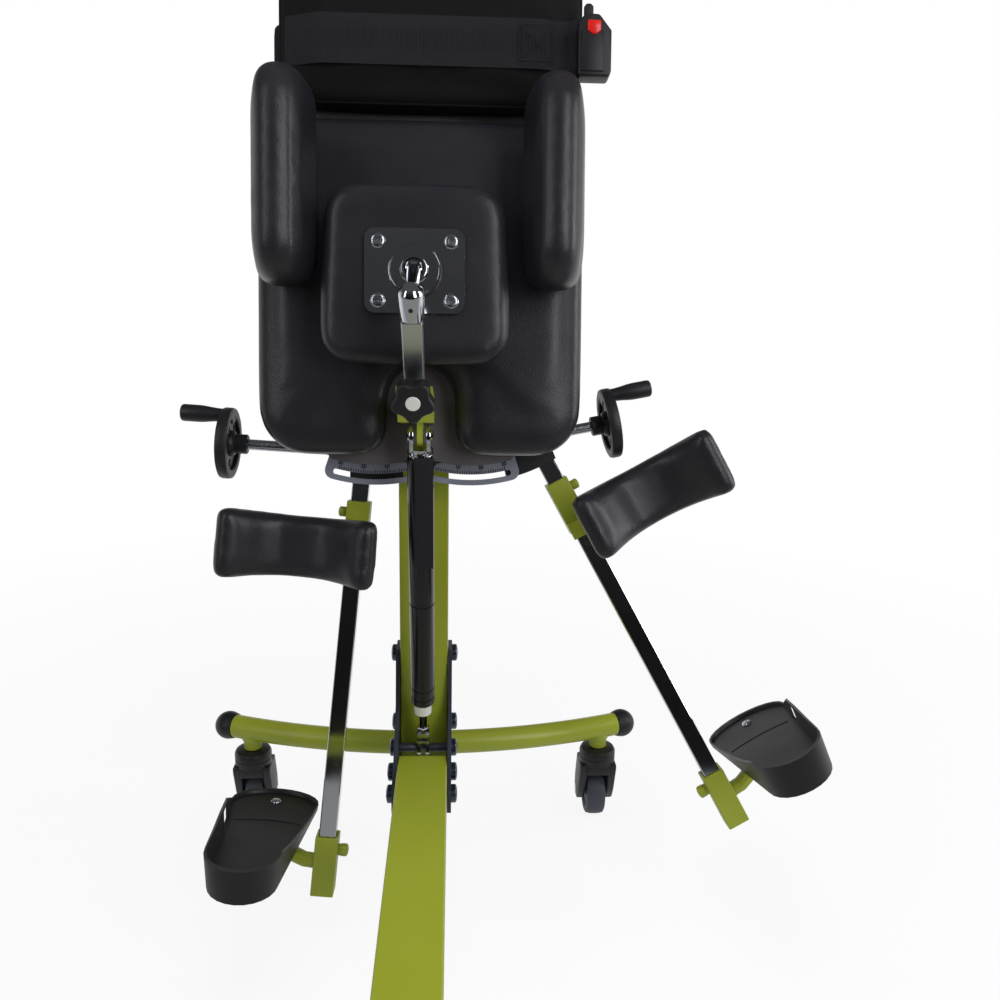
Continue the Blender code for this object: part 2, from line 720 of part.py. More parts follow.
def build_column():
    """Build the column, with the fork on its top that holds the tilt pin."""
    column = square_tube("column", (-HALF, -HALF, COLUMN_BOTTOM), (HALF, HALF, COLUMN_TOP), 2, SQUARE_WALL, ROOT)
    cut(column, *bolt_cutters("column"))
    base = COLUMN_TOP - SQUARE_WALL
    foot = base + HEAD_PLATE / 2
    fuse(column, cuboid("head_plate", (-HALF, -HALF, base), (HALF, HINGE_Y + EAR_RADIUS, base + HEAD_PLATE), ROOT))
    outline = [(HINGE_Y - EAR_RADIUS, foot), (HINGE_Y + EAR_RADIUS, foot)]
    outline += arc((HINGE_Y, HINGE_Z), EAR_RADIUS, 0.0, 180.0, 11)
    inside = LUG_HALF + RUN
    for side in (LEFT, RIGHT):
        span = sorted((side * inside, side * (inside + EAR)))
        fuse(column, slab("ear", outline, span[0], span[1], "X", ROOT))
    end = inside + EAR + 0.004
    fuse(column, cylinder("tilt_pin", (-end, HINGE_Y, HINGE_Z), (end, HINGE_Y, HINGE_Z), PIN_RADIUS, ROOT))
    dress(column, LIME)


TILT = empty("tilt_axis", (0.0, HINGE_Y, HINGE_Z), (-math.radians(PRONE_LEAN), 0.0, 0.0), ROOT)


def tilted(v, w):
    """Return the world (y, z) of a place in the tilting frame."""
    lean = math.radians(PRONE_LEAN)
    y = HINGE_Y + v * math.cos(lean) + w * math.sin(lean)
    z = HINGE_Z - v * math.sin(lean) + w * math.cos(lean)
    return y, z


EYE_Y, EYE_Z = tilted(GAS_EYE_V, GAS_EYE_W)
GAS_LENGTH = math.hypot(EYE_Y - GAS_FOOT_Y, EYE_Z - GAS_FOOT_Z)
GAS_LEAN = math.atan2(GAS_FOOT_Y - EYE_Y, EYE_Z - GAS_FOOT_Z)
GAS = empty("gas_spring_axis", (0.0, GAS_FOOT_Y, GAS_FOOT_Z), (GAS_LEAN, 0.0, 0.0), ROOT)


def gas_fork(low, eye):
    """Return the cheeks of a fork end, one on each side of what its pin holds."""
    cheeks = []
    outline = [(-FORK_EYE_RADIUS, low), (FORK_EYE_RADIUS, low)]
    outline += arc((0.0, eye), FORK_EYE_RADIUS, 0.0, 180.0, 9)
    for side in (LEFT, RIGHT):
        span = sorted((side * (FORK_HALF - FORK_CHEEK), side * FORK_HALF))
        cheeks.append(slab("gas_fork", outline, span[0], span[1], "X", GAS))
    return cheeks


def build_gas_spring():
    """Build the lockable gas spring between the joint plates and the arm bracket."""
    rod_top = CYLINDER_START + ROD_IN_CYLINDER
    rod = turned("gas_spring_rod", [
        (0.0, rod_top), (ROD_RADIUS, rod_top), (ROD_RADIUS, FORK_HEIGHT), (FORK_EYE_RADIUS * 0.9, FORK_HEIGHT),
        (FORK_EYE_RADIUS * 0.9, FORK_HEIGHT - 0.010), (FORK_EYE_RADIUS, FORK_HEIGHT - 0.010),
        (FORK_EYE_RADIUS, -FORK_EYE_RADIUS * 0.7), (FORK_EYE_RADIUS * 0.7, -FORK_EYE_RADIUS),
        (0.0, -FORK_EYE_RADIUS),
    ], (0.0, 0.0, 0.0), (0.0, 0.0, 1.0), GAS)
    pin_hole = cylinder("rod_eye", (-HALF, 0.0, 0.0), (HALF, 0.0, 0.0), BOLT_SHANK + RUN, GAS, 16)
    dress(cut(rod, pin_hole), CHROME)

    bore = ROD_RADIUS + RUN
    collar = turned("gas_spring_collar", [
        (bore, CYLINDER_START - GAP), (GAS_RADIUS * 0.75, CYLINDER_START - GAP),
        (GAS_RADIUS * 0.75, COLLAR_START + 0.003), (GAS_RADIUS * 0.6, COLLAR_START), (bore, COLLAR_START),
    ], (0.0, 0.0, 0.0), (0.0, 0.0, 1.0), GAS, ring=True)
    dress(collar, WHITE_PLASTIC)

    neck = GAS_LENGTH - FORK_EYE_RADIUS * 1.3
    groove = GAS_RADIUS - 0.001
    body = turned("gas_spring_cylinder", [
        (0.0, neck), (FORK_HALF, neck), (FORK_HALF, CYLINDER_END), (GAS_RADIUS - 0.002, CYLINDER_END),
        (GAS_RADIUS, CYLINDER_END - 0.003), (GAS_RADIUS, CYLINDER_START + 0.146), (groove, CYLINDER_START + 0.144),
        (GAS_RADIUS, CYLINDER_START + 0.142), (GAS_RADIUS, CYLINDER_START + 0.026), (groove, CYLINDER_START + 0.024),
        (GAS_RADIUS, CYLINDER_START + 0.022), (GAS_RADIUS - 0.001, CYLINDER_START),
        (bore, CYLINDER_START), (bore, rod_top + 0.004), (0.0, rod_top + 0.004),
    ], (0.0, 0.0, 0.0), (0.0, 0.0, 1.0), GAS, 24)
    cheeks = gas_fork(neck - 0.002, GAS_LENGTH)
    pin = cylinder("gas_pin", (-FORK_HALF, 0.0, GAS_LENGTH), (FORK_HALF, 0.0, GAS_LENGTH), FORK_PIN, GAS, 12)
    dress(fuse(body, *cheeks, pin), BLACK_PLASTIC)

    ring_z = CYLINDER_END + 0.0045
    ring_points = 21
    loop = []
    for i in range(ring_points):
        angle = math.radians(20.0 + 320.0 * i / (ring_points - 1))
        reach = FORK_HALF + RING_WIRE + RUN
        loop.append((reach * math.sin(angle), -reach * math.cos(angle), ring_z + 0.1 * reach * math.cos(angle)))
    dress(tube("strap_ring", loop, RING_WIRE, GAS, 1), STEEL)

    front = -GAS_RADIUS - GAP
    strap_top = ring_z - 0.010
    strap = cuboid("pull_strap", (-STRAP_WIDTH / 2 + STRAP_SHIFT, front - STRAP_THICK, strap_top - STRAP_LENGTH),
                   (STRAP_WIDTH / 2 + STRAP_SHIFT, front, strap_top), GAS, bevel=STRAP_THICK * 0.3)
    dress(strap, BLACK_FABRIC)


BACK_PLATE_FRONT = BACK_PLATE_V - BACK_PLATE
BOARD_FRONT_V = BOARD_BACK_V - BOARD_THICK
PAD_BACK_V = BOARD_FRONT_V - GAP
ARM_FRONT_V = ARM_BACK_V - ARM_THICK
CHEST_BOARD_BACK = BOARD_BACK_V - 0.003


def build_tilt_frame():
    """Build the welded frame that tilts: plate, hinge lug, leg pivots, stand-offs and upright."""
    front = BACK_PLATE_FRONT
    frame = cuboid("tilt_frame", (-BACK_PLATE_HALF, front, BACK_PLATE_LOW),
                   (BACK_PLATE_HALF, BACK_PLATE_V, BACK_PLATE_HIGH), TILT)
    joined = []
    lug = [(front + 0.002, -EAR_RADIUS), (front + 0.002, EAR_RADIUS)]
    lug = lug[::-1] + arc((0.0, 0.0), EAR_RADIUS - 0.001, -90.0, 90.0, 9)
    joined.append(slab("hinge_lug", lug, -LUG_HALF, LUG_HALF, "X", TILT))
    for side in (LEFT, RIGHT):
        pin_end = SCALE_THICK - SCALE_BACK_V + GAP
        profile = [
            (0.0, pin_end + 0.005), (PIVOT_BOSS * 0.85, pin_end + 0.005), (PIVOT_BOSS * 0.85, pin_end),
            (PIVOT_PIN, pin_end), (PIVOT_PIN, -ARM_BACK_V - GAP), (PIVOT_BOSS, -ARM_BACK_V - GAP),
            (PIVOT_BOSS, -front - 0.002), (0.0, -front - 0.002),
        ]
        joined.append(turned("leg_pivot", profile, (side * PIVOT_X, 0.0, PIVOT_W), (0.0, -1.0, 0.0), TILT))
        span = sorted((side * STAND_OFF_IN, side * STAND_OFF_OUT))
        joined.append(cuboid("stand_off", (span[0], BOARD_BACK_V + GAP, STAND_OFF_LOW),
                             (span[1], front + 0.002, STAND_OFF_HIGH), TILT))
    joined.append(cuboid("upright", (-UPRIGHT_HALF, front, BACK_PLATE_HIGH - 0.010),
                         (UPRIGHT_HALF, BACK_PLATE_V, UPRIGHT_TOP), TILT))
    joined.append(cuboid("chest_stand_off", (-UPRIGHT_HALF, CHEST_BOARD_BACK + GAP, UPRIGHT_TOP - 0.150),
                         (UPRIGHT_HALF, front + 0.002, UPRIGHT_TOP - 0.050), TILT))
    bore = cylinder("hinge_bore", (-2 * LUG_HALF, 0.0, 0.0), (2 * LUG_HALF, 0.0, 0.0), PIN_RADIUS + RUN, TILT)
    dress(cut(fuse(frame, *joined), bore), LIME)


def board_outline():
    """Return the pelvic board's outline: square above, two arcs round the leg pivots below."""
    half = PAD_HALF_WIDTH - BOARD_INSET
    low = PAD_BOTTOM + BOARD_INSET
    middle = math.degrees(math.asin(PIVOT_X / BOARD_RADIUS))
    right = arc((PIVOT_X, PIVOT_W), BOARD_RADIUS, -90.0 - middle, -74.0, 9)
    left = [(-x, z) for x, z in reversed(right)]
    corner = rounded([(half, low), (half, BOARD_TOP), (-half, BOARD_TOP), (-half, low)], PAD_CORNER, 6)
    bottom_left = corner[18:]
    rest = corner[:18]
    return bottom_left + left + right[1:] + rest


def build_pelvis():
    """Build the board, the slotted pad, the scale plates and the hip guides."""
    board = slab("pelvic_board", board_outline(), -BOARD_BACK_V, -BOARD_FRONT_V, "-Y", TILT)
    pins = []
    for side in (LEFT, RIGHT):
        x = side * ANCHOR_X
        pins.append(cylinder("anchor_pin", (x, BOARD_BACK_V - 0.002, ANCHOR_W),
                             (x, SCREW_V - BEARING_HALF + ANCHOR_DEPTH, ANCHOR_W), ANCHOR_PIN, TILT, 12))
    dress(fuse(board, *pins), BLACK_STEEL)

    half = PAD_HALF_WIDTH
    right = arc((SLOT_HALF + SLOT_LOBE, PAD_BOTTOM + SLOT_LOBE), SLOT_LOBE, 180.0, 270.0, 5)
    right += arc((half - PAD_CORNER, PAD_BOTTOM + PAD_CORNER), PAD_CORNER, -90.0, 0.0, 8)
    right += arc((half - PAD_CORNER, PAD_TOP - PAD_CORNER), PAD_CORNER, 0.0, 90.0, 8)
    left = [(-x, z) for x, z in reversed(right)]
    slot = arc((0.0, SLOT_TOP - SLOT_HALF), SLOT_HALF, 180.0, 0.0, 9)
    outline = left + slot + right
    place = Matrix.Translation((0.0, PAD_BACK_V, 0.0)) @ PLANE["-Y"]
    pad = moulded("pelvic_pad", outline, PAD_DEPTH, PAD_ROUND, TILT, place, PAD_CROWN, 0.005, 0.005)
    dress(pad, BLACK_FOAM)

    for side in (LEFT, RIGHT):
        build_scale_plate(side)
        build_hip_guide(side)


def build_scale_plate(side):
    """Build one degree plate: an arc round the leg pivot with a slot, on bosses from the board."""
    edge = 0.0025

    def band(inner, outer, half_angle, trim, low_corner, high_corner):
        pivot = (PIVOT_X, PIVOT_W)
        low_turn = half_angle - 90.0 - math.degrees(math.asin(low_corner / (outer - low_corner)))
        high_turn = half_angle - 90.0 - math.degrees(math.asin(high_corner / (inner + high_corner)))
        low_middle = arc(pivot, outer - low_corner, low_turn, -90.0, 2)[0]
        high_middle = arc(pivot, inner + high_corner, high_turn, -90.0, 2)[0]
        points = arc(pivot, outer, -90.0 - half_angle, low_turn, 15)
        points += arc(low_middle, low_corner, low_turn, low_turn + 90.0, 6)[1:]
        points += arc(high_middle, high_corner, high_turn + 90.0, high_turn + 180.0, 6)
        points += arc(pivot, inner, high_turn, -90.0 - half_angle, 15)[1:]
        return [(side * max(x, trim), z) for x, z in points][::side]

    front = -(SCALE_BACK_V - SCALE_THICK)
    outline = band(SCALE_R_IN, SCALE_R_OUT, SCALE_HALF_ANGLE, edge, SCALE_CORNER, SCALE_CORNER / 4)
    plate = slab(f"scale_plate_{SIDE_NAME[side]}", outline, -SCALE_BACK_V, front, "-Y", TILT)
    lobe = (SCALE_SLOT_OUT - SCALE_SLOT_IN) * 0.45
    opening = band(SCALE_SLOT_IN, SCALE_SLOT_OUT, SLOT_HALF_ANGLE, edge + 0.004, lobe, lobe)
    slot = slab("scale_slot", opening, -SCALE_BACK_V - 0.002, front + 0.002, "-Y", TILT)
    x = side * SCALE_BOSS_X
    z = PIVOT_W - math.sqrt(SCALE_BOSS_R ** 2 - (PIVOT_X - SCALE_BOSS_X) ** 2)
    boss = cylinder("scale_boss", (x, SCALE_BACK_V - 0.001, z), (x, BOARD_BACK_V + GAP, z), SCALE_BOSS, TILT, 12)
    pivot = Vector((side * PIVOT_X, 0.0, PIVOT_W))
    place = Matrix.Translation(pivot) @ Matrix.Rotation(side * math.radians(SCALE_STRIP_ANGLE), 4, "Y")
    strip = cuboid("scale_strip", (-SCALE_STRIP_HALF, -front, -SCALE_R_IN - 0.004),
                   (SCALE_STRIP_HALF, SCALE_BACK_V, 0.0), TILT, place=place)
    middle = Vector((0.0, SCALE_BACK_V, 0.0))
    ahead = Vector((0.0, -front, 0.0))
    eye = cylinder("scale_eye", pivot + middle, pivot + ahead, PIVOT_BOSS, TILT)
    hole = cylinder("scale_hole", pivot, pivot + ahead * 2, PIVOT_PIN + RUN, TILT)
    fuse(plate, boss, strip, eye)
    dress(cut(plate, slot, hole), GREY_SCALE)


def build_hip_guide(side):
    """Build one hip guide: a wing that stands forward from the pad and thins towards its tip."""
    heel = HIP_CORNER * 0.7
    outline = arc((heel, HIP_LOW + heel), heel, -90.0, -180.0, 4)
    outline += arc((heel, HIP_HIGH - heel), heel, 180.0, 90.0, 4)
    outline += arc((HIP_REACH - HIP_CORNER, HIP_HIGH - HIP_CORNER), HIP_CORNER, 90.0, 0.0, 7)
    outline += arc((HIP_REACH - HIP_CORNER, HIP_LOW + HIP_CORNER), HIP_CORNER, 0.0, -90.0, 7)
    depth = HIP_TIP_THICK
    guide = moulded(f"hip_guide_{SIDE_NAME[side]}", outline, depth, HIP_ROUND, TILT, None, 0.0, 0.0, HIP_ROUND)
    seat = PAD_BACK_V - PAD_DEPTH - PAD_CROWN - GAP
    for vertex in guide.data.vertices:
        reach, height, across = vertex.co
        share = max(0.0, 1.0 - reach / HIP_REACH)
        widen = 1.0 + (HIP_BASE_THICK / HIP_TIP_THICK - 1.0) * share ** 2
        x = HIP_CENTRE + (across - depth / 2) * widen
        vertex.co = (side * x, seat - reach, height)
    if side == RIGHT:
        guide.data.flip_normals()
    dress(guide, BLACK_FOAM)


def build_chest():
    """Build the chest board, the fabric pad, the belt, the buckle and its button."""
    low = CHEST_LOW + CHEST_BOARD_INSET
    high = CHEST_HIGH - CHEST_BOARD_INSET
    half = CHEST_WIDTH / 2 - CHEST_BOARD_INSET
    outline = rounded([(CHEST_X - half, low), (CHEST_X + half, low), (CHEST_X + half, high), (CHEST_X - half, high)],
                      CHEST_CORNER - CHEST_BOARD_INSET / 2, 5)
    board_front = CHEST_BOARD_BACK - CHEST_BOARD
    dress(slab("chest_board", outline, -CHEST_BOARD_BACK, -board_front, "-Y", TILT), BLACK_PLASTIC)

    half = CHEST_WIDTH / 2
    middle = (CHEST_LOW + CHEST_HIGH) / 2
    tall = (CHEST_HIGH - CHEST_LOW) / 2
    corners = [(-half, -tall), (half, -tall), (half, tall), (-half, tall)]
    outline = []
    for x, z in rounded(corners, CHEST_CORNER, 7):
        draw_x = CHEST_DRAW_IN * (1.0 - (z / tall) ** 2)
        draw_z = CHEST_DRAW_IN * (1.0 - (x / half) ** 2)
        outline.append((CHEST_X + x - math.copysign(draw_x, x), middle + z - math.copysign(draw_z, z)))
    pad_back = board_front - GAP
    place = Matrix.Translation((0.0, pad_back, 0.0)) @ PLANE["-Y"]
    pad = moulded("chest_pad", outline, CHEST_DEPTH, CHEST_ROUND, TILT, place, CHEST_CROWN, 0.012, 0.006)
    dress(pad, BLACK_FABRIC)

    face = pad_back - CHEST_DEPTH - CHEST_CROWN - GAP
    left_end = CHEST_X - half + CHEST_ROUND
    right_end = CHEST_X + half
    outline = [(left_end, -face), (right_end - 0.010, -face), (right_end, -face - 0.010),
               (right_end + BELT_THICK, -face - 0.008), (right_end - 0.008, -face + BELT_THICK),
               (left_end, -face + BELT_THICK)]
    outline = [(x, -depth) for x, depth in outline]
    belt = slab("chest_belt", outline, BELT_W - BELT_WIDTH / 2, BELT_W + BELT_WIDTH / 2, "Z", TILT)
    dress(belt, BLACK_FABRIC)

    buckle_back = face - BELT_THICK - GAP
    low = (BUCKLE_X - BUCKLE_WIDTH / 2, buckle_back - BUCKLE_DEPTH, BUCKLE_W - BUCKLE_LENGTH / 2)
    high = (BUCKLE_X + BUCKLE_WIDTH / 2, buckle_back, BUCKLE_W + BUCKLE_LENGTH / 2)
    buckle = cuboid("belt_buckle", low, high, TILT, bevel=0.003)
    button_x = (low[0] + high[0]) / 2
    button_w = high[2] - BUTTON_INSET
    pocket_x = BUTTON_WIDTH / 2 + RUN
    pocket_w = BUTTON_LENGTH / 2 + RUN
    pocket = cuboid("button_pocket", (button_x - pocket_x, low[1] - 0.001, button_w - pocket_w),
                    (button_x + pocket_x, low[1] + BUTTON_DEPTH, button_w + pocket_w), TILT)
    dress(cut(buckle, pocket), BLACK_PLASTIC)
    button = cuboid("buckle_button",
                    (button_x - BUTTON_WIDTH / 2, low[1] - BUTTON_PROUD, button_w - BUTTON_LENGTH / 2),
                    (button_x + BUTTON_WIDTH / 2, low[1] + BUTTON_DEPTH - BUTTON_PROUD - RUN,
                     button_w + BUTTON_LENGTH / 2), TILT, bevel=0.0008)
    dress(button, RED_PLASTIC)


RISE = math.radians(ARM_RISE)
ARM_WAY = Vector((0.0, -math.cos(RISE), math.sin(RISE)))
ARM_UNDER = Vector((0.0, -math.sin(RISE), -math.cos(RISE)))
ARM_FOOT = Vector((ARM_X, ARM_FOOT_V, ARM_FOOT_W))
ARM_FRAME = Matrix.Translation(ARM_FOOT) @ Matrix.Rotation(math.pi / 2 - RISE, 4, "X")
KNOB_WAY = Vector((0.0, -math.cos(math.radians(KNOB_DROP)), -math.sin(math.radians(KNOB_DROP))))


def along_arm(s, under=0.0):
    """Return (v, w) at a distance along the arm tube and under its middle line."""
    point = ARM_FOOT + ARM_WAY * s + ARM_UNDER * under
    return point.y, point.z


def build_arm():
    """Build the green bracket, the star knob, the square arm tube and the swivel rod."""
    foot = BOARD_FRONT_V - GAP
    outline = [
        (foot, along_arm(SLEEVE_LOW, SLEEVE_HALF)[1]), along_arm(SLEEVE_LOW, SLEEVE_HALF),
        along_arm(SLEEVE_TIP, SLEEVE_HALF), along_arm(SLEEVE_HIGH, -SLEEVE_HALF),
        (foot, along_arm(SLEEVE_HIGH, -SLEEVE_HALF)[1] - 0.006),
    ]
    bracket = slab("arm_bracket", outline[::-1], ARM_X - CHEEK_HALF, ARM_X + CHEEK_HALF, "X", TILT)
    top = along_arm(SLEEVE_LOW, SLEEVE_HALF)[1] + 0.004
    reach = FORK_EYE_RADIUS
    tab_outline = [(foot, top), (foot, GAS_EYE_W + reach)]
    tab_outline += arc((GAS_EYE_V, GAS_EYE_W), reach, -10.0, -190.0, 12)
    tab_outline += [(GAS_EYE_V - reach * 1.3, top)]
    tab = slab("gas_tab", tab_outline, -TAB_THICK / 2, TAB_THICK / 2, "X", TILT)
    eye = cylinder("tab_eye", (-HALF, GAS_EYE_V, GAS_EYE_W), (HALF, GAS_EYE_V, GAS_EYE_W),
                   FORK_PIN + EYE_CLEARANCE, TILT, 20)
    run = ARM_SIDE / 2 + GAP
    channel = cuboid("arm_channel", (-run, -run, ARM_LOW - GAP), (run, run, ARM_HIGH), TILT, place=ARM_FRAME)
    stud_seat = Vector((ARM_X, *along_arm(KNOB_AT, SLEEVE_HALF)))
    bore = cylinder("stud_bore", stud_seat + KNOB_WAY * KNOB_STUD / 2, stud_seat - KNOB_WAY * KNOB_STUD / 2,
                    STUD_RADIUS + GAP, TILT, 16)
    dress(cut(fuse(bracket, tab), channel, eye, bore), LIME)

    low = (-ARM_SIDE / 2, -ARM_SIDE / 2, ARM_LOW)
    high = (ARM_SIDE / 2, ARM_SIDE / 2, ARM_HIGH)
    arm = cuboid("arm_tube", low, high, TILT, ARM_WALL * 0.6, ARM_FRAME)
    inner = ARM_SIDE / 2 - ARM_WALL
    hollow = cuboid("arm_hollow", (-inner, -inner, ARM_LOW - 0.001), (inner, inner, ARM_HIGH - 0.006), TILT,
                    place=ARM_FRAME)
    dress(cut(arm, hollow), CHROME)

    knob_base = stud_seat + KNOB_WAY * (KNOB_STUD + GAP)
    turn = KNOB_WAY.to_track_quat("Z", "Y").to_matrix().to_4x4()
    lobes = []
    steps = KNOB_LOBES * 6
    for i in range(steps):
        angle = 2 * math.pi * i / steps
        radius = KNOB_RADIUS * (0.89 + 0.11 * math.cos(KNOB_LOBES * angle))
        lobes.append((radius * math.cos(angle), radius * math.sin(angle)))
    knob = moulded("star_knob", lobes, KNOB_DEPTH, 0.003, TILT, Matrix.Translation(knob_base) @ turn, 0.0, 0.0, 0.002)
    stud = cylinder("knob_stud", knob_base + KNOB_WAY * 0.002, stud_seat, STUD_RADIUS, TILT, 16)
    dress(fuse(knob, stud), BLACK_PLASTIC)

    start = ARM_FOOT + ARM_WAY * (ARM_HIGH + GAP)
    end = start + ARM_WAY * COUPLING_LENGTH
    ball = Vector((ARM_X, BALL_JOINT_V, BALL_JOINT_W))
    coupling = cylinder("swivel_rod", start, end, COUPLING_RADIUS, TILT, 24)
    bend = end - ARM_WAY * COUPLING_RADIUS * 0.8
    neck = bend + (ball - bend).normalized() * 0.002
    link = cylinder("swivel_link", neck, ball, SWIVEL_ROD_RADIUS, TILT, 16)
    tip = sphere("swivel_ball", ball, BALL_JOINT_RADIUS, TILT, 16, 10)
    dress(fuse(coupling, link, tip), CHROME)


SWIVEL = empty("pad_swivel_axis", (ARM_X, BALL_JOINT_V, BALL_JOINT_W), parent=TILT)


def build_buttock_pad():
    """Build the swivel plate with its ball socket, and the pad behind it."""
    pad_front = BUTTOCK_BACK_V - BUTTOCK_DEPTH
    front = pad_front - GAP - BALL_JOINT_V
    half_w = SWIVEL_PLATE_W / 2
    half_h = SWIVEL_PLATE_H / 2
    outline = rounded([(-half_w, -half_h), (half_w, -half_h), (half_w, half_h), (-half_w, half_h)], 0.010, 4)
    plate = slab("swivel_plate", outline, -front, SWIVEL_PLATE - front, "-Y", SWIVEL)
    disc_start = -front + SWIVEL_PLATE
    socket = BALL_JOINT_RADIUS + RUN * 2
    profile = [
        (0.0, 0.002), (socket + 0.002, 0.002), (socket + 0.003, 0.0), (socket + 0.003, disc_start + SWIVEL_DISC),
        (SWIVEL_DISC_RADIUS, disc_start + SWIVEL_DISC), (SWIVEL_DISC_RADIUS, disc_start - 0.001),
        (0.0, disc_start - 0.001),
    ]
    disc = turned("swivel_disc", profile, (0.0, 0.0, 0.0), (0.0, -1.0, 0.0), SWIVEL, 24)
    hollow = sphere("socket_hollow", (0.0, 0.0, 0.0), socket, SWIVEL, 16, 8)
    mouth = cylinder("socket_mouth", (0.0, 0.0, 0.0), (0.0, -0.01, 0.0), socket * 0.98, SWIVEL, 16)
    dress(cut(fuse(plate, disc), hollow, mouth), CHROME)

    top = BUTTOCK_TOP_WIDTH / 2
    low = BUTTOCK_LOW_WIDTH / 2
    tall = BUTTOCK_HEIGHT / 2
    centre = BUTTOCK_W - BALL_JOINT_W
    corners = [(-low, centre - tall), (low, centre - tall), (top, centre + tall), (-top, centre + tall)]
    outline = rounded(corners, BUTTOCK_CORNER, 7)
    place = Matrix.Translation((0.0, BUTTOCK_BACK_V - BALL_JOINT_V, 0.0)) @ PLANE["-Y"]
    pad = moulded("buttock_pad", outline, BUTTOCK_DEPTH, BUTTOCK_ROUND, SWIVEL, place, 0.0, 0.0, BUTTOCK_ROUND)
    dress(pad, BLACK_FOAM)


POST_V = ARM_BACK_V + GAP + POST_SIDE / 2


def build_leg(side, abduction, knee, tray_pitch):
    """Build one leg from its hip pivot down to the foot tray."""
    label = SIDE_NAME[side]
    turn = -side * math.radians(abduction)
    hip = empty(f"abduction_axis_{label}", (side * PIVOT_X, 0.0, PIVOT_W), (0.0, turn, 0.0), TILT)

    build_leg_arm(side, label, hip)
    half = POST_SIDE / 2
    post = square_tube(f"leg_post_{label}", (-half, POST_V - half, -POST_END_R), (half, POST_V + half, -POST_TOP_R),
                       2, POST_WALL, hip)
    dress(post, CHROME)
    build_knee(side, label, hip, *knee)
    build_foot(side, label, hip, tray_pitch)


def build_leg_arm(side, label, hip):
    """Build the black arm with its pivot eye and the sector behind the scale."""
    inner = SECTOR_INNER_ANGLE
    outer = SECTOR_OUTER_ANGLE
    points = arc((0.0, 0.0), ARM_EYE, 0.0, 180.0, 11)
    lower_inner = math.sqrt(SECTOR_IN ** 2 - ARM_HALF_WIDTH ** 2)
    start = math.degrees(math.asin(ARM_HALF_WIDTH / SECTOR_IN))
    points += [(-ARM_HALF_WIDTH, -ARM_EYE), (-ARM_HALF_WIDTH, -lower_inner)]
    points += arc((0.0, 0.0), SECTOR_IN, -90.0 - start, -90.0 - inner, 5)[1:]
    points += arc((0.0, 0.0), SECTOR_OUT, -90.0 - inner, -90.0 + outer, 9)
    points += [(ARM_HALF_WIDTH, -SECTOR_IN), (ARM_HALF_WIDTH, -ARM_EYE)]
    outline = [(side * x, z) for x, z in points][::side]
    arm = slab(f"leg_arm_{label}", outline, -ARM_BACK_V, -ARM_FRONT_V, "-Y", hip)
    deep = ARM_BACK_V + 0.01
    shallow = ARM_FRONT_V - 0.01
    pivot = cylinder("arm_pivot_hole", (0.0, deep, 0.0), (0.0, shallow, 0.0), PIVOT_PIN + RUN, hip)
    trunnion = cylinder("arm_nut_hole", (0.0, deep, -NUT_R), (0.0, shallow, -NUT_R), TRUNNION_RADIUS + RUN, hip)
    dress(cut(arm, pivot, trunnion), BLACK_STEEL)


def clamp_sleeve(name, top, length, hip):
    """Return a square sleeve that slides on the post."""
    half = CLAMP_SIDE / 2
    run = POST_SIDE / 2 + GAP
    sleeve = cuboid(name, (-half, POST_V - half, -top - length), (half, POST_V + half, -top), hip, 0.0012)
    bore = cuboid(name + "_bore", (-run, POST_V - run, -top - length - 0.01), (run, POST_V + run, -top + 0.01), hip)
    return sleeve, bore


def build_knee(side, label, hip, knee_t, knee_r):
    """Build the knee clamp with its bar, and the U-shaped knee pad."""
    half = CLAMP_SIDE / 2
    sleeve, bore = clamp_sleeve(f"knee_clamp_{label}", KNEE_CLAMP_TOP, KNEE_CLAMP_LENGTH, hip)
    stub = cylinder("knee_stub", (side * (half - 0.002), POST_V, -KNEE_STUB_R),
                    (side * (half + STUB_LENGTH * 0.8), POST_V, -KNEE_STUB_R), STUB_RADIUS, hip, 14)
    bar_back = POST_V - half + 0.001
    bar_front = POST_V - half - KNEE_BAR
    span = sorted((side * -half, side * (knee_t + KNEE_LENGTH * 0.2)))
    bar = cuboid("knee_bar", (span[0], bar_front, -knee_r - KNEE_BAR_HEIGHT / 2 + 0.005),
                 (span[1], bar_back, -knee_r + KNEE_BAR_HEIGHT / 2 - 0.005), hip)
    dress(cut(fuse(sleeve, stub, bar), bore), LIME)

    half_length = KNEE_LENGTH / 2
    half_thick = KNEE_THICK / 2
    line = []
    count = 13
    for i in range(count):
        x = (half_length - half_thick) * (2 * i / (count - 1) - 1)
        lift = KNEE_WING * abs(x / half_length) ** 2.4
        line.append(Vector((x, half_thick + lift)))
    back = []
    front = []
    for i, point in enumerate(line):
        way = (line[min(i + 1, count - 1)] - line[max(i - 1, 0)]).normalized()
        normal = Vector((-way.y, way.x)) * half_thick
        back.append(point - normal)
        front.append(point + normal)
    outline = back + half_round(line[-1], back[-1], front[-1]) + front[::-1] + half_round(line[0], front[0], back[0])
    pad_back = bar_front - GAP
    outline = [(side * knee_t + p.x, pad_back - p.y) for p in outline][::-1]
    place = Matrix.Translation((0.0, 0.0, -knee_r - KNEE_HEIGHT / 2))
    pad = moulded(f"knee_pad_{label}", outline, KNEE_HEIGHT, KNEE_ROUND, hip, place, 0.0, 0.0, KNEE_ROUND)
    dress(pad, BLACK_FOAM)


def half_round(centre, start, end):
    """Return the points between two ends of a half circle."""
    points = []
    first = start - centre
    for i in (1, 2, 3):
        angle = math.pi * i / 4
        x = first.x * math.cos(angle) - first.y * math.sin(angle)
        y = first.x * math.sin(angle) + first.y * math.cos(angle)
        points.append(centre + Vector((x, y)))
    return points


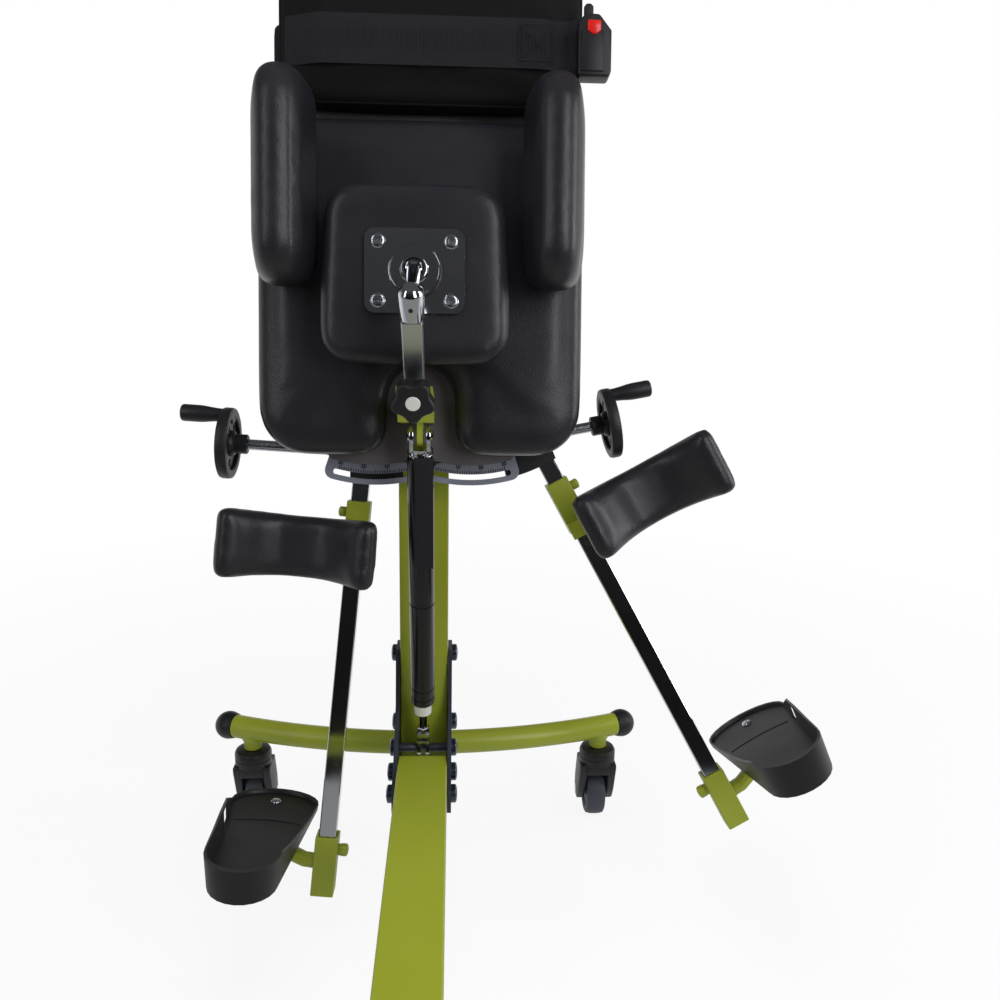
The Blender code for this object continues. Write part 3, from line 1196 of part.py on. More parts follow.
def build_foot(side, label, hip, tray_pitch):
    """Build the foot clamp with its bent bar, and the foot tray that tips on the bar."""
    half = CLAMP_SIDE / 2
    sleeve, bore = clamp_sleeve(f"foot_clamp_{label}", FOOT_CLAMP_TOP, FOOT_CLAMP_LENGTH, hip)
    stub_r = BAR_R - 0.002
    stub = cylinder("foot_stub", (side * -(half - 0.002), POST_V, -stub_r),
                    (side * -(half + STUB_LENGTH), POST_V, -stub_r), STUB_RADIUS * 1.25, hip, 14)
    route = [(half - 0.002, BAR_START_R), (half + 0.012, BAR_START_R - 0.001), (half + 0.022, BAR_START_R - 0.005),
             (half + 0.031, BAR_R + 0.004), (half + 0.040, BAR_R), (TRAY_LUG_T0 - 0.004, BAR_R), (BAR_END_T, BAR_R)]
    bar = tube("foot_bar", [(side * t, POST_V, -r) for t, r in route], BAR_RADIUS, hip)
    dress(cut(fuse(sleeve, stub, bar), bore), LIME)

    hinge = empty(f"tray_axis_{label}", (0.0, POST_V, -BAR_R), (math.radians(tray_pitch), 0.0, 0.0), hip)
    dress(foot_tray(side, label, hinge), BLACK_PLASTIC)


def foot_tray(side, label, hinge):
    """Return a tray with an open toe, a walled outer side and a heel cup."""
    count = 13
    rim = []
    for i in range(count):
        angle = math.pi * i / (count - 1)
        rim.append((TRAY_TOE_HALF * math.cos(angle), TRAY_TOE_Y + TRAY_TOE_ARC * math.sin(angle)))
    taper = TRAY_TOE_HALF - TRAY_HEEL_HALF
    length = TRAY_HEEL_Y - TRAY_TOE_Y
    for k in (0.25, 0.5, 0.75):
        rim.append((-TRAY_TOE_HALF + taper * k, TRAY_TOE_Y + length * k))
    for i in range(count):
        angle = math.pi * (1 + i / (count - 1))
        rim.append((TRAY_HEEL_HALF * math.cos(angle), TRAY_HEEL_Y + TRAY_HEEL_ARC * math.sin(angle)))
    for k in (0.75, 0.5, 0.25):
        rim.append((TRAY_TOE_HALF - taper * k, TRAY_TOE_Y + length * k))

    floor = BAR_RADIUS + 0.003
    shape = bmesh.new()
    loops = [[], [], [], []]
    for x, y in rim:
        back = min(1.0, max(0.0, (y - TRAY_TOE_Y) / length))
        side_wall = TRAY_LIP
        if x > 0.0:
            side_wall += (TRAY_OUTER_WALL - TRAY_LIP) * min(1.0, back / TRAY_STEP)
        wall = side_wall + (TRAY_HEEL_WALL - side_wall) * back ** 2
        if y > TRAY_TOE_Y + GAP:
            wall = TRAY_LIP
        wide = 1.0 + TRAY_LEAN * wall / TRAY_HEEL_HALF
        thin = 1.0 - TRAY_WALL / math.hypot(x, 0.5 * abs(y) + TRAY_HEEL_HALF * 0.5)
        places = ((1.0, 0.0), (wide, wall), (wide * thin, wall), (thin, TRAY_FLOOR))
        for loop, (scale, height) in zip(loops, places):
            loop.append(shape.verts.new((side * (TRAY_T + x * scale), y * scale, floor + height)))
    total = len(rim)
    for lower, upper in zip(loops, loops[1:]):
        for i in range(total):
            k = (i + 1) % total
            shape.faces.new((lower[i], lower[k], upper[k], upper[i]))
    shape.faces.new(loops[0][::-1])
    shape.faces.new(loops[3])
    bmesh.ops.recalc_face_normals(shape, faces=shape.faces)
    tray = from_bmesh(f"foot_tray_{label}", shape, hinge)
    span = sorted((side * TRAY_LUG_T0, side * TRAY_LUG_T1))
    lug = cuboid("tray_lug", (span[0], -TRAY_LUG_HALF, -TRAY_LUG_HALF),
                 (span[1], TRAY_LUG_HALF, floor + 0.002), hinge)
    reach = side * BAR_END_T * 2
    bore = cylinder("tray_bore", (0.0, 0.0, 0.0), (reach, 0.0, 0.0), BAR_RADIUS + RUN, hinge, 20)
    slot_x = side * (TRAY_T + TRAY_TOE_HALF)
    slot = cuboid("tray_slot", (slot_x - 0.02, TRAY_SLOT_Y - TRAY_SLOT_LENGTH / 2, floor + TRAY_SLOT_RISE),
                  (slot_x + 0.02, TRAY_SLOT_Y + TRAY_SLOT_LENGTH / 2,
                   floor + TRAY_SLOT_RISE + TRAY_SLOT_HEIGHT), hinge)
    return cut(fuse(tray, lug), bore, slot)


def build_screw(side, abduction):
    """Build one abduction screw: bearing, screw, handwheel and grip, and the nut on the leg arm."""
    label = SIDE_NAME[side]
    angle = math.radians(abduction)
    run_x = PIVOT_X + NUT_R * math.sin(angle) - ANCHOR_X
    rise = PIVOT_W - NUT_R * math.cos(angle) - ANCHOR_W
    swing = math.atan2(rise, run_x)
    axis = empty(f"screw_axis_{label}", (side * ANCHOR_X, SCREW_V, ANCHOR_W), (0.0, -side * swing, 0.0), TILT)
    nut_at = math.hypot(run_x, rise)

    half = BEARING_HALF
    bearing = cuboid(f"screw_bearing_{label}", (-half, -half, -half), (half, half, half), axis, 0.001)
    pin_reach = half - ANCHOR_DEPTH - GAP
    pin = cylinder("bearing_pin_hole", (0.0, -2 * half, 0.0), (0.0, -pin_reach, 0.0), ANCHOR_PIN + RUN, axis, 16)
    bore = cylinder("bearing_bore", (side * (SCREW_START - GAP), 0.0, 0.0), (side * 2 * half, 0.0, 0.0),
                    SCREW_RADIUS + RUN, axis, 20)
    dress(cut(bearing, pin, bore), BLACK_STEEL)

    screw_end = WHEEL_AT + HANDWHEEL_WIDTH / 2 - HUB_FACE
    screw = cylinder(f"lead_screw_{label}", (side * SCREW_START, 0.0, 0.0), (side * screw_end, 0.0, 0.0),
                     SCREW_RADIUS, axis)
    dress(screw, STEEL)

    nut_back = SCALE_BACK_V - SCALE_THICK - RUN - SCREW_V
    nut = cuboid(f"screw_nut_{label}", (side * nut_at - NUT_HALF, -NUT_HALF, -NUT_HALF),
                 (side * nut_at + NUT_HALF, nut_back, NUT_HALF), axis, 0.001)
    trunnion = cylinder("trunnion", (side * nut_at, NUT_HALF / 2, 0.0),
                        (side * nut_at, ARM_BACK_V - GAP * 2 - SCREW_V, 0.0), TRUNNION_RADIUS, axis, 16)
    thread = cylinder("nut_thread", (side * (nut_at - 0.03), 0.0, 0.0), (side * (nut_at + 0.03), 0.0, 0.0),
                      SCREW_RADIUS + NUT_CLEARANCE, axis, 20)
    dress(cut(fuse(nut, trunnion), thread), BLACK_STEEL)
    build_handwheel(side, label, axis)


def build_handwheel(side, label, axis):
    """Build a spoked handwheel and the grip that revolves on its pin."""
    width = HANDWHEEL_WIDTH / 2
    outer = HANDWHEEL_RADIUS
    inner = HANDWHEEL_RADIUS - HANDWHEEL_RIM
    way = (side, 0.0, 0.0)
    centre = (side * WHEEL_AT, 0.0, 0.0)
    wheel = turned(f"handwheel_{label}", [
        (inner, width - 0.001), (inner + 0.001, width), (outer - 0.003, width), (outer, width - 0.003),
        (outer, 0.003 - width), (outer - 0.003, -width), (inner + 0.001, -width), (inner, 0.001 - width),
    ], centre, way, axis, 22, ring=True)
    hub = cylinder("hub", (side * (WHEEL_AT - HUB_IN), 0.0, 0.0), (side * (WHEEL_AT + width), 0.0, 0.0),
                   HUB_RADIUS, axis, 20)
    spokes = []
    for i in range(3):
        turn = Matrix.Translation(centre) @ Matrix.Rotation(2 * math.pi * i / 3, 4, "X")
        spokes.append(cuboid("spoke", (-SPOKE_THICK / 2, -SPOKE_WIDTH / 2, HUB_RADIUS * 0.7),
                             (SPOKE_THICK / 2, SPOKE_WIDTH / 2, inner + 0.002), axis, place=turn))
    face = WHEEL_AT + width
    pin = cylinder("grip_pin", (side * (face - 0.003), 0.0, CRANK_RADIUS),
                   (side * (face + GRIP_LENGTH * 0.8), 0.0, CRANK_RADIUS), GRIP_PIN, axis, 10)
    boss = cylinder("grip_boss", (side * (WHEEL_AT - width + 0.001), 0.0, CRANK_RADIUS),
                    (side * (face - 0.0005), 0.0, CRANK_RADIUS), GRIP_RADIUS * 0.85, axis, 16)
    bore = cylinder("wheel_bore", (side * (WHEEL_AT - 0.05), 0.0, 0.0), (side * (face - HUB_FACE + GAP), 0.0, 0.0),
                    SCREW_RADIUS + GAP, axis, 20)
    dress(cut(fuse(wheel, hub, *spokes, boss, pin), bore), BLACK_PLASTIC)

    hole = GRIP_PIN + RUN
    grip = turned(f"handle_grip_{label}", [
        (0.0, GRIP_LENGTH), (GRIP_RADIUS - 0.002, GRIP_LENGTH), (GRIP_RADIUS, GRIP_LENGTH - 0.002),
        (GRIP_RADIUS, GRIP_LENGTH * 0.45), (GRIP_NECK, GAP), (hole, GAP), (hole, GRIP_LENGTH * 0.8 + RUN),
        (0.0, GRIP_LENGTH * 0.8 + RUN),
    ], (side * face, 0.0, CRANK_RADIUS), way, axis)
    dress(grip, BLACK_PLASTIC)


def centre_on_floor():
    """Move the whole model so that its box stands centred on the origin."""
    bpy.context.view_layer.update()
    graph = bpy.context.evaluated_depsgraph_get()
    low = Vector((math.inf, math.inf, math.inf))
    high = -low
    for obj in PARTS.objects:
        if obj.type != "MESH":
            continue
        solid = obj.evaluated_get(graph)
        for vertex in solid.data.vertices:
            point = solid.matrix_world @ vertex.co
            low = Vector(map(min, low, point))
            high = Vector(map(max, high, point))
    middle = (low + high) / 2
    ROOT.location = (-middle.x, -middle.y, -low.z)
    bpy.context.view_layer.update()


build_base()
build_cross_tubes()
for castor_side in (LEFT, RIGHT):
    build_castor("front", FRONT_CROSS_Y, 1, castor_side)
    build_castor("rear", REAR_CROSS_Y, -1, castor_side)
build_column()
build_gas_spring()
build_tilt_frame()
build_pelvis()
build_chest()
build_arm()
build_buttock_pad()
build_leg(LEFT, LEFT_ABDUCTION, (KNEE_LEFT_T, KNEE_LEFT_R), LEFT_TRAY_PITCH)
build_leg(RIGHT, RIGHT_ABDUCTION, (KNEE_RIGHT_T, KNEE_RIGHT_R), RIGHT_TRAY_PITCH)
build_screw(LEFT, LEFT_ABDUCTION)
build_screw(RIGHT, RIGHT_ABDUCTION)
centre_on_floor()
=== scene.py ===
import math

import bpy
from mathutils import Matrix, Vector


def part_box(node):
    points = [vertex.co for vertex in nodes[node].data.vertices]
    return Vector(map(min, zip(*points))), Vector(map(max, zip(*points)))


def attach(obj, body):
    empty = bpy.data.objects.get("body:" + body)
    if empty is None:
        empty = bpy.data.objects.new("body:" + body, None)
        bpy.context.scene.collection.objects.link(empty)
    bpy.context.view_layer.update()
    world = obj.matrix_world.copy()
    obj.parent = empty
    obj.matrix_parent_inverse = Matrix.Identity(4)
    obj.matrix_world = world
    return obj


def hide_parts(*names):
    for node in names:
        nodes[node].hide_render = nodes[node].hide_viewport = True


# Looks of a pneumatic standing frame, in metres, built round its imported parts
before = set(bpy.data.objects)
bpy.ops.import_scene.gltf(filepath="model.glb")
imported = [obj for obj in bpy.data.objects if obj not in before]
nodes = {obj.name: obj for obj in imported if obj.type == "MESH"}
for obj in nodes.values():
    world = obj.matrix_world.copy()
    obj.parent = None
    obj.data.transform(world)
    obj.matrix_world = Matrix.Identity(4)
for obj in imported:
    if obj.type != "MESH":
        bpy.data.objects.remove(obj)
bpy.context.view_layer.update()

LEFT = -1
RIGHT = 1
SIDE_NAME = {LEFT: "left", RIGHT: "right"}
ENDS = ("front", "rear")
HERE = Matrix.Identity(4)
# Stands a flat outline (a, b) up, with its depth along X
UPRIGHT = Matrix(((0, 0, 1, 0), (1, 0, 0, 0), (0, 1, 0, 0), (0, 0, 0, 1)))

# Places of the moving frames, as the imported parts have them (V is depth and W height on the leaning body)
COLUMN_BACK = 0.030
LEAN = 10.0
ABDUCTION = {LEFT: 5.4, RIGHT: 28.9}
SCREW_SWING = {LEFT: 3.3045, RIGHT: 11.24}
TRAY_PITCH = {LEFT: 5.0, RIGHT: 0.0}
GAS_LEAN = 12.0645
ARM_RISE = 39.9
KNOB_DROP = 25.0
PIVOT_X = 0.054
PIVOT_W = 0.015
TILT_HINGE = (0.0, 0.020, 0.700)
GAS_FOOT = (0.0, -0.055, 0.195)
ARM_X = -0.004
ARM_FOOT = (ARM_X, -0.1915, -0.0655)
SWIVEL_W = 0.044
ANCHOR_X = 0.022
ANCHOR_W = -0.140
SCREW_V = -0.077
POST_V = -0.0437
TRAY_HINGE_W = -0.634

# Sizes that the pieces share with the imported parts
PAD_BACK_V = -0.1023
HIP_BACK_V = -0.1456
CHEST_BACK_V = -0.1053
CHEST_DEPTH = 0.045
CHEST_MIDDLE = (0.010, 0.3405)
CHEST_HALF = (0.163, 0.1195)
CHEST_CORNER = 0.045
BELT_W = 0.284
BELT_WIDTH = 0.050
KNEE_BACK = -0.0635
KNEE_HALF = 0.090
SCALE_FRONT_V = -0.067
WHEEL_AT = 0.196
CRANK = 0.031
GAS_LENGTH = 0.4228
CYLINDER_START = 0.0713
CYLINDER_END = 0.399
STRAP_WIDTH = 0.020
STRAP_LENGTH = 0.125
STRAP_SHIFT = 0.004
TRAY_X = 0.077
TRAY_FLOOR = 0.0161
SCALE_SPAN = 27.0
SCALE_DEGREES = 30
SCALE_PRINT_R = 0.1772
SCALE_NUMBER_R = 0.1714
CROSS_HALF = 0.270
CROSS_SWEEP = 0.050
CROSS_HEIGHT = 0.147
CASTOR_X = 0.246
CASTOR_TRAIL = 0.022
WHEEL_RADIUS = 0.0375
# Middle of each cross tube, and the way that its ends sweep
CROSS_MIDDLE = {"front": (0.0463, 1), "rear": (-0.6563, -1)}

# Fineness of the meshes, and the turns past which an edge stays sharp and a plate's rim is rounded
MERGE_GAP = 0.00002
TIP_RADIUS = 0.00001
SHARP_ANGLE = 35.0
RIM_ANGLE = 40.0

# Stuffing of the cushions: frames and force of the swell, and how deep a pad is held by its board
SWELL_FRAMES = 20
SWELL_PRESSURE = 2.5
HELD_DEPTH = 0.004
BUTTOCK_FRONT_V = -0.1965

# Spacing of the wave pattern's bands at a scale of 1
WAVE_SPACING = 0.314


def move(x, y, z):
    return Matrix.Translation((x, y, z))


def turn(degrees, axis):
    return Matrix.Rotation(math.radians(degrees), 4, axis)


# Turns a piece that was raised along Z to face the front
FACING = turn(90.0, "X")
column_low, column_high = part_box("column")
SHIFT = Vector(((column_low.x + column_high.x) / 2, column_low.y + COLUMN_BACK, 0.0))
FLOOR_PLAN = Matrix.Translation(SHIFT)
TILT = FLOOR_PLAN @ move(*TILT_HINGE) @ turn(-LEAN, "X")
GAS = FLOOR_PLAN @ move(*GAS_FOOT) @ turn(GAS_LEAN, "X")
ARM = TILT @ move(*ARM_FOOT) @ turn(90.0 - ARM_RISE, "X")
LEG = {}
SCREW = {}
TRAY = {}
for side in (LEFT, RIGHT):
    LEG[side] = TILT @ move(side * PIVOT_X, 0.0, PIVOT_W) @ turn(-side * ABDUCTION[side], "Y")
    SCREW[side] = TILT @ move(side * ANCHOR_X, SCREW_V, ANCHOR_W) @ turn(-side * SCREW_SWING[side], "Y")
    TRAY[side] = LEG[side] @ move(0.0, POST_V, TRAY_HINGE_W) @ turn(TRAY_PITCH[side], "X")


# Finishes
def linear(code):
    """Turn an sRGB hex code into a linear colour."""
    parts = [int(code[i:i + 2], 16) / 255 for i in (1, 3, 5)]
    return tuple(c / 12.92 if c <= 0.04045 else ((c + 0.055) / 1.055) ** 2.4 for c in parts) + (1.0,)


def add(owner, kind, inputs=None, **settings):
    """Add a node with its settings, values and links."""
    node = owner.node_tree.nodes.new(kind)
    for name, value in settings.items():
        setattr(node, name, value)
    for name, value in (inputs or {}).items():
        if isinstance(value, bpy.types.NodeSocket):
            owner.node_tree.links.new(value, node.inputs[name])
        else:
            node.inputs[name].default_value = value
    return node


def finish(name, colours, roughness, grain, depth, drift=0.06, kind="ShaderNodeTexNoise", **sockets):
    """Make a finish whose tone and gloss drift, over a relief of a grain size and depth, all in metres."""
    material = bpy.data.materials.new(name)
    material.use_nodes = True
    shader = material.node_tree.nodes["Principled BSDF"]
    for socket, value in sockets.items():
        shader.inputs[socket.replace("_", " ")].default_value = value
    place = add(material, "ShaderNodeTexCoord").outputs["Object"]
    wander = add(material, "ShaderNodeTexNoise", {"Vector": place, "Scale": 1 / drift, "Detail": 4.0})
    tone = add(material, "ShaderNodeMixRGB", {"Fac": wander.outputs[0], "Color1": linear(colours[0]),
                                              "Color2": linear(colours[1])})
    relief = add(material, kind, {"Vector": place, "Scale": 1 / grain})
    sheen = add(material, "ShaderNodeMapRange", {"Value": wander.outputs[0],
                                                 "From Min": 0.25, "From Max": 0.75,
                                                 "To Min": roughness[0], "To Max": roughness[1]})
    bump = add(material, "ShaderNodeBump", {"Height": relief.outputs[0], "Distance": depth,
                                            "Strength": 0.7})
    links = material.node_tree.links
    links.new(tone.outputs[0], shader.inputs["Base Color"])
    links.new(sheen.outputs[0], shader.inputs["Roughness"])
    links.new(bump.outputs[0], shader.inputs["Normal"])
    return material


def plated(name, colours, roughness, grain=0.010, depth=0.00001, drift=0.03):
    """Make a metal finish, all but free of grain unless one is given."""
    return finish(name, colours, roughness, grain, depth, drift, Metallic=1.0)


# Powder coat on steel: an even lime skin with a faint orange peel about 2 mm across
lime = finish("powder_coated_steel_lime", ("#99a22a", "#a3ac33"), (0.30, 0.40), 0.0020, 0.00008, 0.12)
# Satin black powder coat on plates and arms: finer peel, some dust in the tone
satin_black = finish("powder_coated_steel_black", ("#161618", "#1e1e20"), (0.42, 0.55), 0.0012, 0.0001)
# Slate lacquer on the steel joint plates, between black and blue
slate = finish("lacquered_steel_slate", ("#2b303b", "#363b48"), (0.38, 0.50), 0.0012, 0.00006)
# Black chrome on the piston rod: a smoky mirror
dark_chrome = plated("black_chrome_steel", ("#3c3e44", "#4a4c52"), (0.10, 0.18))
# Polished chrome plate: mirror clear, with a faint haze from handling
chrome = plated("chrome_plated_steel", ("#c9ccd2", "#d8dadf"), (0.05, 0.11))
# Satin chrome on the pad's arm: ground along its length before plating, so that it mirrors softly
satin_chrome = plated("satin_chromed_steel", ("#c9ccd2", "#d8dadf"), (0.30, 0.38))
# Zinc plate on small fasteners: duller, a little blue
zinc = plated("zinc_plated_steel", ("#b9bcc4", "#d0d3d8"), (0.18, 0.32), 0.0008, 0.00004, 0.004)
# Blued zinc on the bolts of the joint plates: darker, under a film of lacquer
blue_zinc = plated("blued_zinc_steel", ("#5c6272", "#6d7383"), (0.22, 0.34), 0.0008, 0.00004, 0.004)
# Integral skin polyurethane foam: soft black skin with a moulded leather grain, drawn at 1.6 mm to show
foam_skin = finish("integral_skin_foam", ("#1f1d22", "#28262b"), (0.34, 0.42), 0.0016, 0.00014, 0.05,
                   "ShaderNodeTexVoronoi")
# Vinyl over the pelvic board: a little browner than the foam, with a finer grain; its tone is painted lighter
# than the foam's, as painted light for the brighter light that falls on the board
board_vinyl_with_painted_light = finish("vinyl_board_with_painted_light", ("#544f50", "#605a5c"), (0.50, 0.62), 0.0013, 0.0002, 0.05,
                     "ShaderNodeTexVoronoi")
# Acetal and nylon mouldings: black, spark-eroded grain about 0.9 mm
moulded_black = finish("moulded_nylon_black", ("#18181a", "#1f1f22"), (0.40, 0.52), 0.0009, 0.00009)
# Polypropylene foot trays: smoother and a little glossier than the nylon
tray_plastic = finish("polypropylene_black", ("#161618", "#1d1d20"), (0.38, 0.50), 0.0015, 0.00006)
# Baked gloss enamel on the gas spring's cylinder: deep black with narrow highlights
gloss_black = finish("gloss_enamel_black", ("#131314", "#1a1a1c"), (0.16, 0.26), 0.004, 0.00003)
# Grey lacquer on the degree plates, with a metal flake about 1 mm across
scale_grey = finish("lacquered_scale_grey", ("#858896", "#9da0ae"), (0.32, 0.46), 0.0010, 0.00003, 0.0012)
# Thermoplastic rubber tyres: dull slate grey, with a fine moulded skin
tyre_grey = finish("thermoplastic_rubber_grey", ("#3c404a", "#494d58"), (0.50, 0.62), 0.0011, 0.00008)
# White acetal on the gas spring's collar and the knob's cap: a little waxy and warm
white_acetal = finish("acetal_white", ("#dedcd4", "#e9e8e3"), (0.28, 0.36), 0.0020, 0.00003)
# Glossy ABS of the release button: bright red, with small clear highlights
button_red = finish("abs_red", ("#d8150f", "#e32a20"), (0.18, 0.26), 0.0030, 0.00003)
# Screen printed ink on the degree plates: flat and all but black
ink = finish("printed_ink_black", ("#101113", "#191a1d"), (0.50, 0.60), 0.0010, 0.00002)


def woven(name, colours, period, depth):
    """Make a cloth of threads that cross, at a thread spacing in metres that is coarse enough to show."""
    material = finish(name, colours, (0.78, 0.92), period * 0.5, depth * 0.4, 0.03, Specular_IOR_Level=0.3)
    tree = material.node_tree
    place = add(material, "ShaderNodeTexCoord").outputs["Object"]
    lean = (math.radians(LEAN), 0.0, 0.0)
    straight = add(material, "ShaderNodeMapping", {"Vector": place, "Rotation": lean})
    bands = {"Vector": straight.outputs[0], "Scale": WAVE_SPACING / period}
    across = add(material, "ShaderNodeTexWave", bands, bands_direction="X")
    along = add(material, "ShaderNodeTexWave", bands, bands_direction="Z")
    cross = add(material, "ShaderNodeMath", {0: across.outputs[1], 1: along.outputs[1]},
                operation="MULTIPLY")
    fuzz = tree.nodes["Bump"]
    weave = add(material, "ShaderNodeBump", {"Height": cross.outputs[0], "Distance": depth, "Strength": 0.8,
                                             "Normal": fuzz.outputs[0]})
    tree.links.new(weave.outputs[0], tree.nodes["Principled BSDF"].inputs["Normal"])
    return material


# Knitted spacer cloth over the chest cushion: deep black, threads drawn 1.6 mm apart
chest_cloth = woven("knitted_polyester_black", ("#0d0d0e", "#131314"), 0.0016, 0.0002)
# Polypropylene webbing: the ribs are in the mesh, the threads are drawn 1.4 mm apart
webbing_black = woven("polypropylene_webbing", ("#1d1d20", "#28282c"), 0.0014, 0.0003)
# Bonded polyester sewing thread: a little lighter than the webbing under it, so that the stitches show
thread = woven("sewing_thread_black", ("#1f1f23", "#2b2b30"), 0.0010, 0.0001)


# Ways of making a piece
def activate(piece):
    bpy.ops.object.select_all(action="DESELECT")
    piece.select_set(True)
    bpy.context.view_layer.objects.active = piece


def named(name):
    """Name the piece that was just added."""
    piece = bpy.context.object
    piece.name = name
    piece.data.name = name
    return piece


def edit(piece):
    """Open a piece for shaping, with all of it selected."""
    activate(piece)
    bpy.ops.object.mode_set(mode="EDIT")
    bpy.ops.mesh.select_mode(type="EDGE")
    bpy.ops.mesh.select_all(action="SELECT")


def close_up(angle=SHARP_ANGLE):
    """Merge what meets, turn the faces outwards, and smooth all but the sharp edges."""
    bpy.ops.mesh.select_all(action="SELECT")
    bpy.ops.mesh.remove_doubles(threshold=MERGE_GAP)
    bpy.ops.mesh.normals_make_consistent(inside=False)
    bpy.ops.object.mode_set(mode="OBJECT")
    bpy.ops.object.shade_smooth_by_angle(angle=math.radians(angle))


def turned(name, rings, sides=48, bored=False):
    """Raise a circle ring by ring, each a (radius, height); a bored piece closes on itself."""
    radius, height = rings[0]
    fill = "NOTHING" if bored else "NGON"
    bpy.ops.object.select_all(action="DESELECT")
    bpy.ops.mesh.primitive_circle_add(vertices=sides, radius=radius, fill_type=fill)
    piece = named(name)
    edit(piece)
    bpy.ops.transform.translate(value=(0.0, 0.0, height))
    for next_radius, next_height in rings[1:] + (rings[:1] if bored else []):
        next_radius = max(next_radius, TIP_RADIUS)
        rise = (0.0, 0.0, next_height - height)
        bpy.ops.mesh.extrude_region_move(TRANSFORM_OT_translate={"value": rise})
        share = next_radius / radius
        bpy.ops.transform.resize(value=(share, share, 1.0), center_override=(0.0, 0.0, next_height))
        radius = next_radius
        height = next_height
    close_up()
    return piece


def plate(name, outline, low, high, bevel=0.0, segments=3):
    """Raise a flat outline from low to high and round its rims."""
    bpy.ops.object.select_all(action="DESELECT")
    bpy.ops.mesh.primitive_circle_add(vertices=len(outline), radius=1.0, fill_type="NGON")
    piece = named(name)
    for vertex, (a, b) in zip(piece.data.vertices, outline):
        vertex.co = (a, b, low)
    edit(piece)
    bpy.ops.mesh.extrude_region_move(TRANSFORM_OT_translate={"value": (0.0, 0.0, high - low)})
    bpy.ops.mesh.select_all(action="SELECT")
    bpy.ops.mesh.normals_make_consistent(inside=False)
    if bevel:
        bpy.ops.mesh.select_all(action="DESELECT")
        bpy.ops.mesh.edges_select_sharp(sharpness=math.radians(RIM_ANGLE))
        bpy.ops.mesh.bevel(offset=bevel, segments=segments, affect="EDGES")
    close_up()
    return piece


def block(name, low, high, bevel, segments=3):
    """Add a box between two corners and round its edges."""
    low = Vector(low)
    high = Vector(high)
    bpy.ops.object.select_all(action="DESELECT")
    bpy.ops.mesh.primitive_cube_add(size=1.0, location=(low + high) / 2, scale=high - low)
    piece = named(name)
    bpy.ops.object.transform_apply(location=True, rotation=True, scale=True)
    edit(piece)
    bpy.ops.mesh.bevel(offset=bevel, segments=segments, affect="EDGES")
    close_up()
    return piece


def sweep(name, points, radius, closed=False, resolution=3):
    """Draw a round bar along points."""
    curve = bpy.data.curves.new(name, "CURVE")
    curve.dimensions = "3D"
    curve.bevel_depth = radius
    curve.bevel_resolution = resolution
    curve.use_fill_caps = not closed
    spline = curve.splines.new("POLY")
    spline.points.add(len(points) - 1)
    for knot, point in zip(spline.points, points):
        knot.co = (*point, 1.0)
    spline.use_cyclic_u = closed
    piece = bpy.data.objects.new(name, curve)
    bpy.context.scene.collection.objects.link(piece)
    activate(piece)
    bpy.ops.object.convert(target="MESH")
    piece = named(name)
    edit(piece)
    close_up()
    return piece


def again(piece, name):
    """Copy a finished piece, with a mesh of its own."""
    copy = bpy.data.objects.new(name, piece.data.copy())
    bpy.context.scene.collection.objects.link(copy)
    return copy


def joined(name, pieces):
    """Join pieces into one."""
    bpy.ops.object.select_all(action="DESELECT")
    for piece in pieces:
        piece.select_set(True)
    bpy.context.view_layer.objects.active = pieces[0]
    bpy.ops.object.join()
    return named(name)


def place_at(piece, place):
    """Put a piece in its place and keep that place in its mesh."""
    activate(piece)
    piece.matrix_world = place
    bpy.ops.object.transform_apply(location=True, rotation=True, scale=True)
    return piece


def paired(name, outline, gap, thick, bevel, segments=3):
    """Stand up two like plates, one on each side of the middle."""
    pieces = []
    for low in (-gap - thick, gap):
        pieces.append(place_at(plate(name, outline, low, low + thick, bevel, segments), UPRIGHT))
    return pieces


def settle(piece, place, body, material, *stood_for):
    """Put a piece in its place, on its body and in its finish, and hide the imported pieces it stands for."""
    place_at(piece, place)
    piece.data.materials.clear()
    piece.data.materials.append(material)
    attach(piece, body)
    if stood_for:
        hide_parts(*stood_for)


def dress(node, material, rim=0.0006):
    """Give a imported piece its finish, with its corners merged and its rims rounded."""
    piece = nodes[node]
    piece.data.materials.clear()
    piece.data.materials.append(material)
    piece.data.shade_smooth()
    weld = piece.modifiers.new("merged corners", "WELD")
    weld.merge_threshold = MERGE_GAP
    bevel = piece.modifiers.new("rounded rims", "BEVEL")
    bevel.width = rim
    bevel.segments = 2
    bevel.limit_method = "ANGLE"
    bevel.angle_limit = math.radians(SHARP_ANGLE)
    piece.modifiers.new("even light", "WEIGHTED_NORMAL")


def arc(centre, radius, start, end, count):
    """Return points on an arc, with angles in degrees."""
    points = []
    for i in range(count):
        angle = math.radians(start + (end - start) * i / (count - 1))
        points.append((centre[0] + radius * math.cos(angle), centre[1] + radius * math.sin(angle)))
    return points


def round_corners(half_width, half_height, radius, count=8):
    """Return the outline of a rectangle with round corners."""
    x = half_width - radius
    y = half_height - radius
    points = arc((x, y), radius, 0.0, 90.0, count)
    points += arc((-x, y), radius, 90.0, 180.0, count)
    points += arc((-x, -y), radius, 180.0, 270.0, count)
    points += arc((x, -y), radius, 270.0, 360.0, count)
    return points


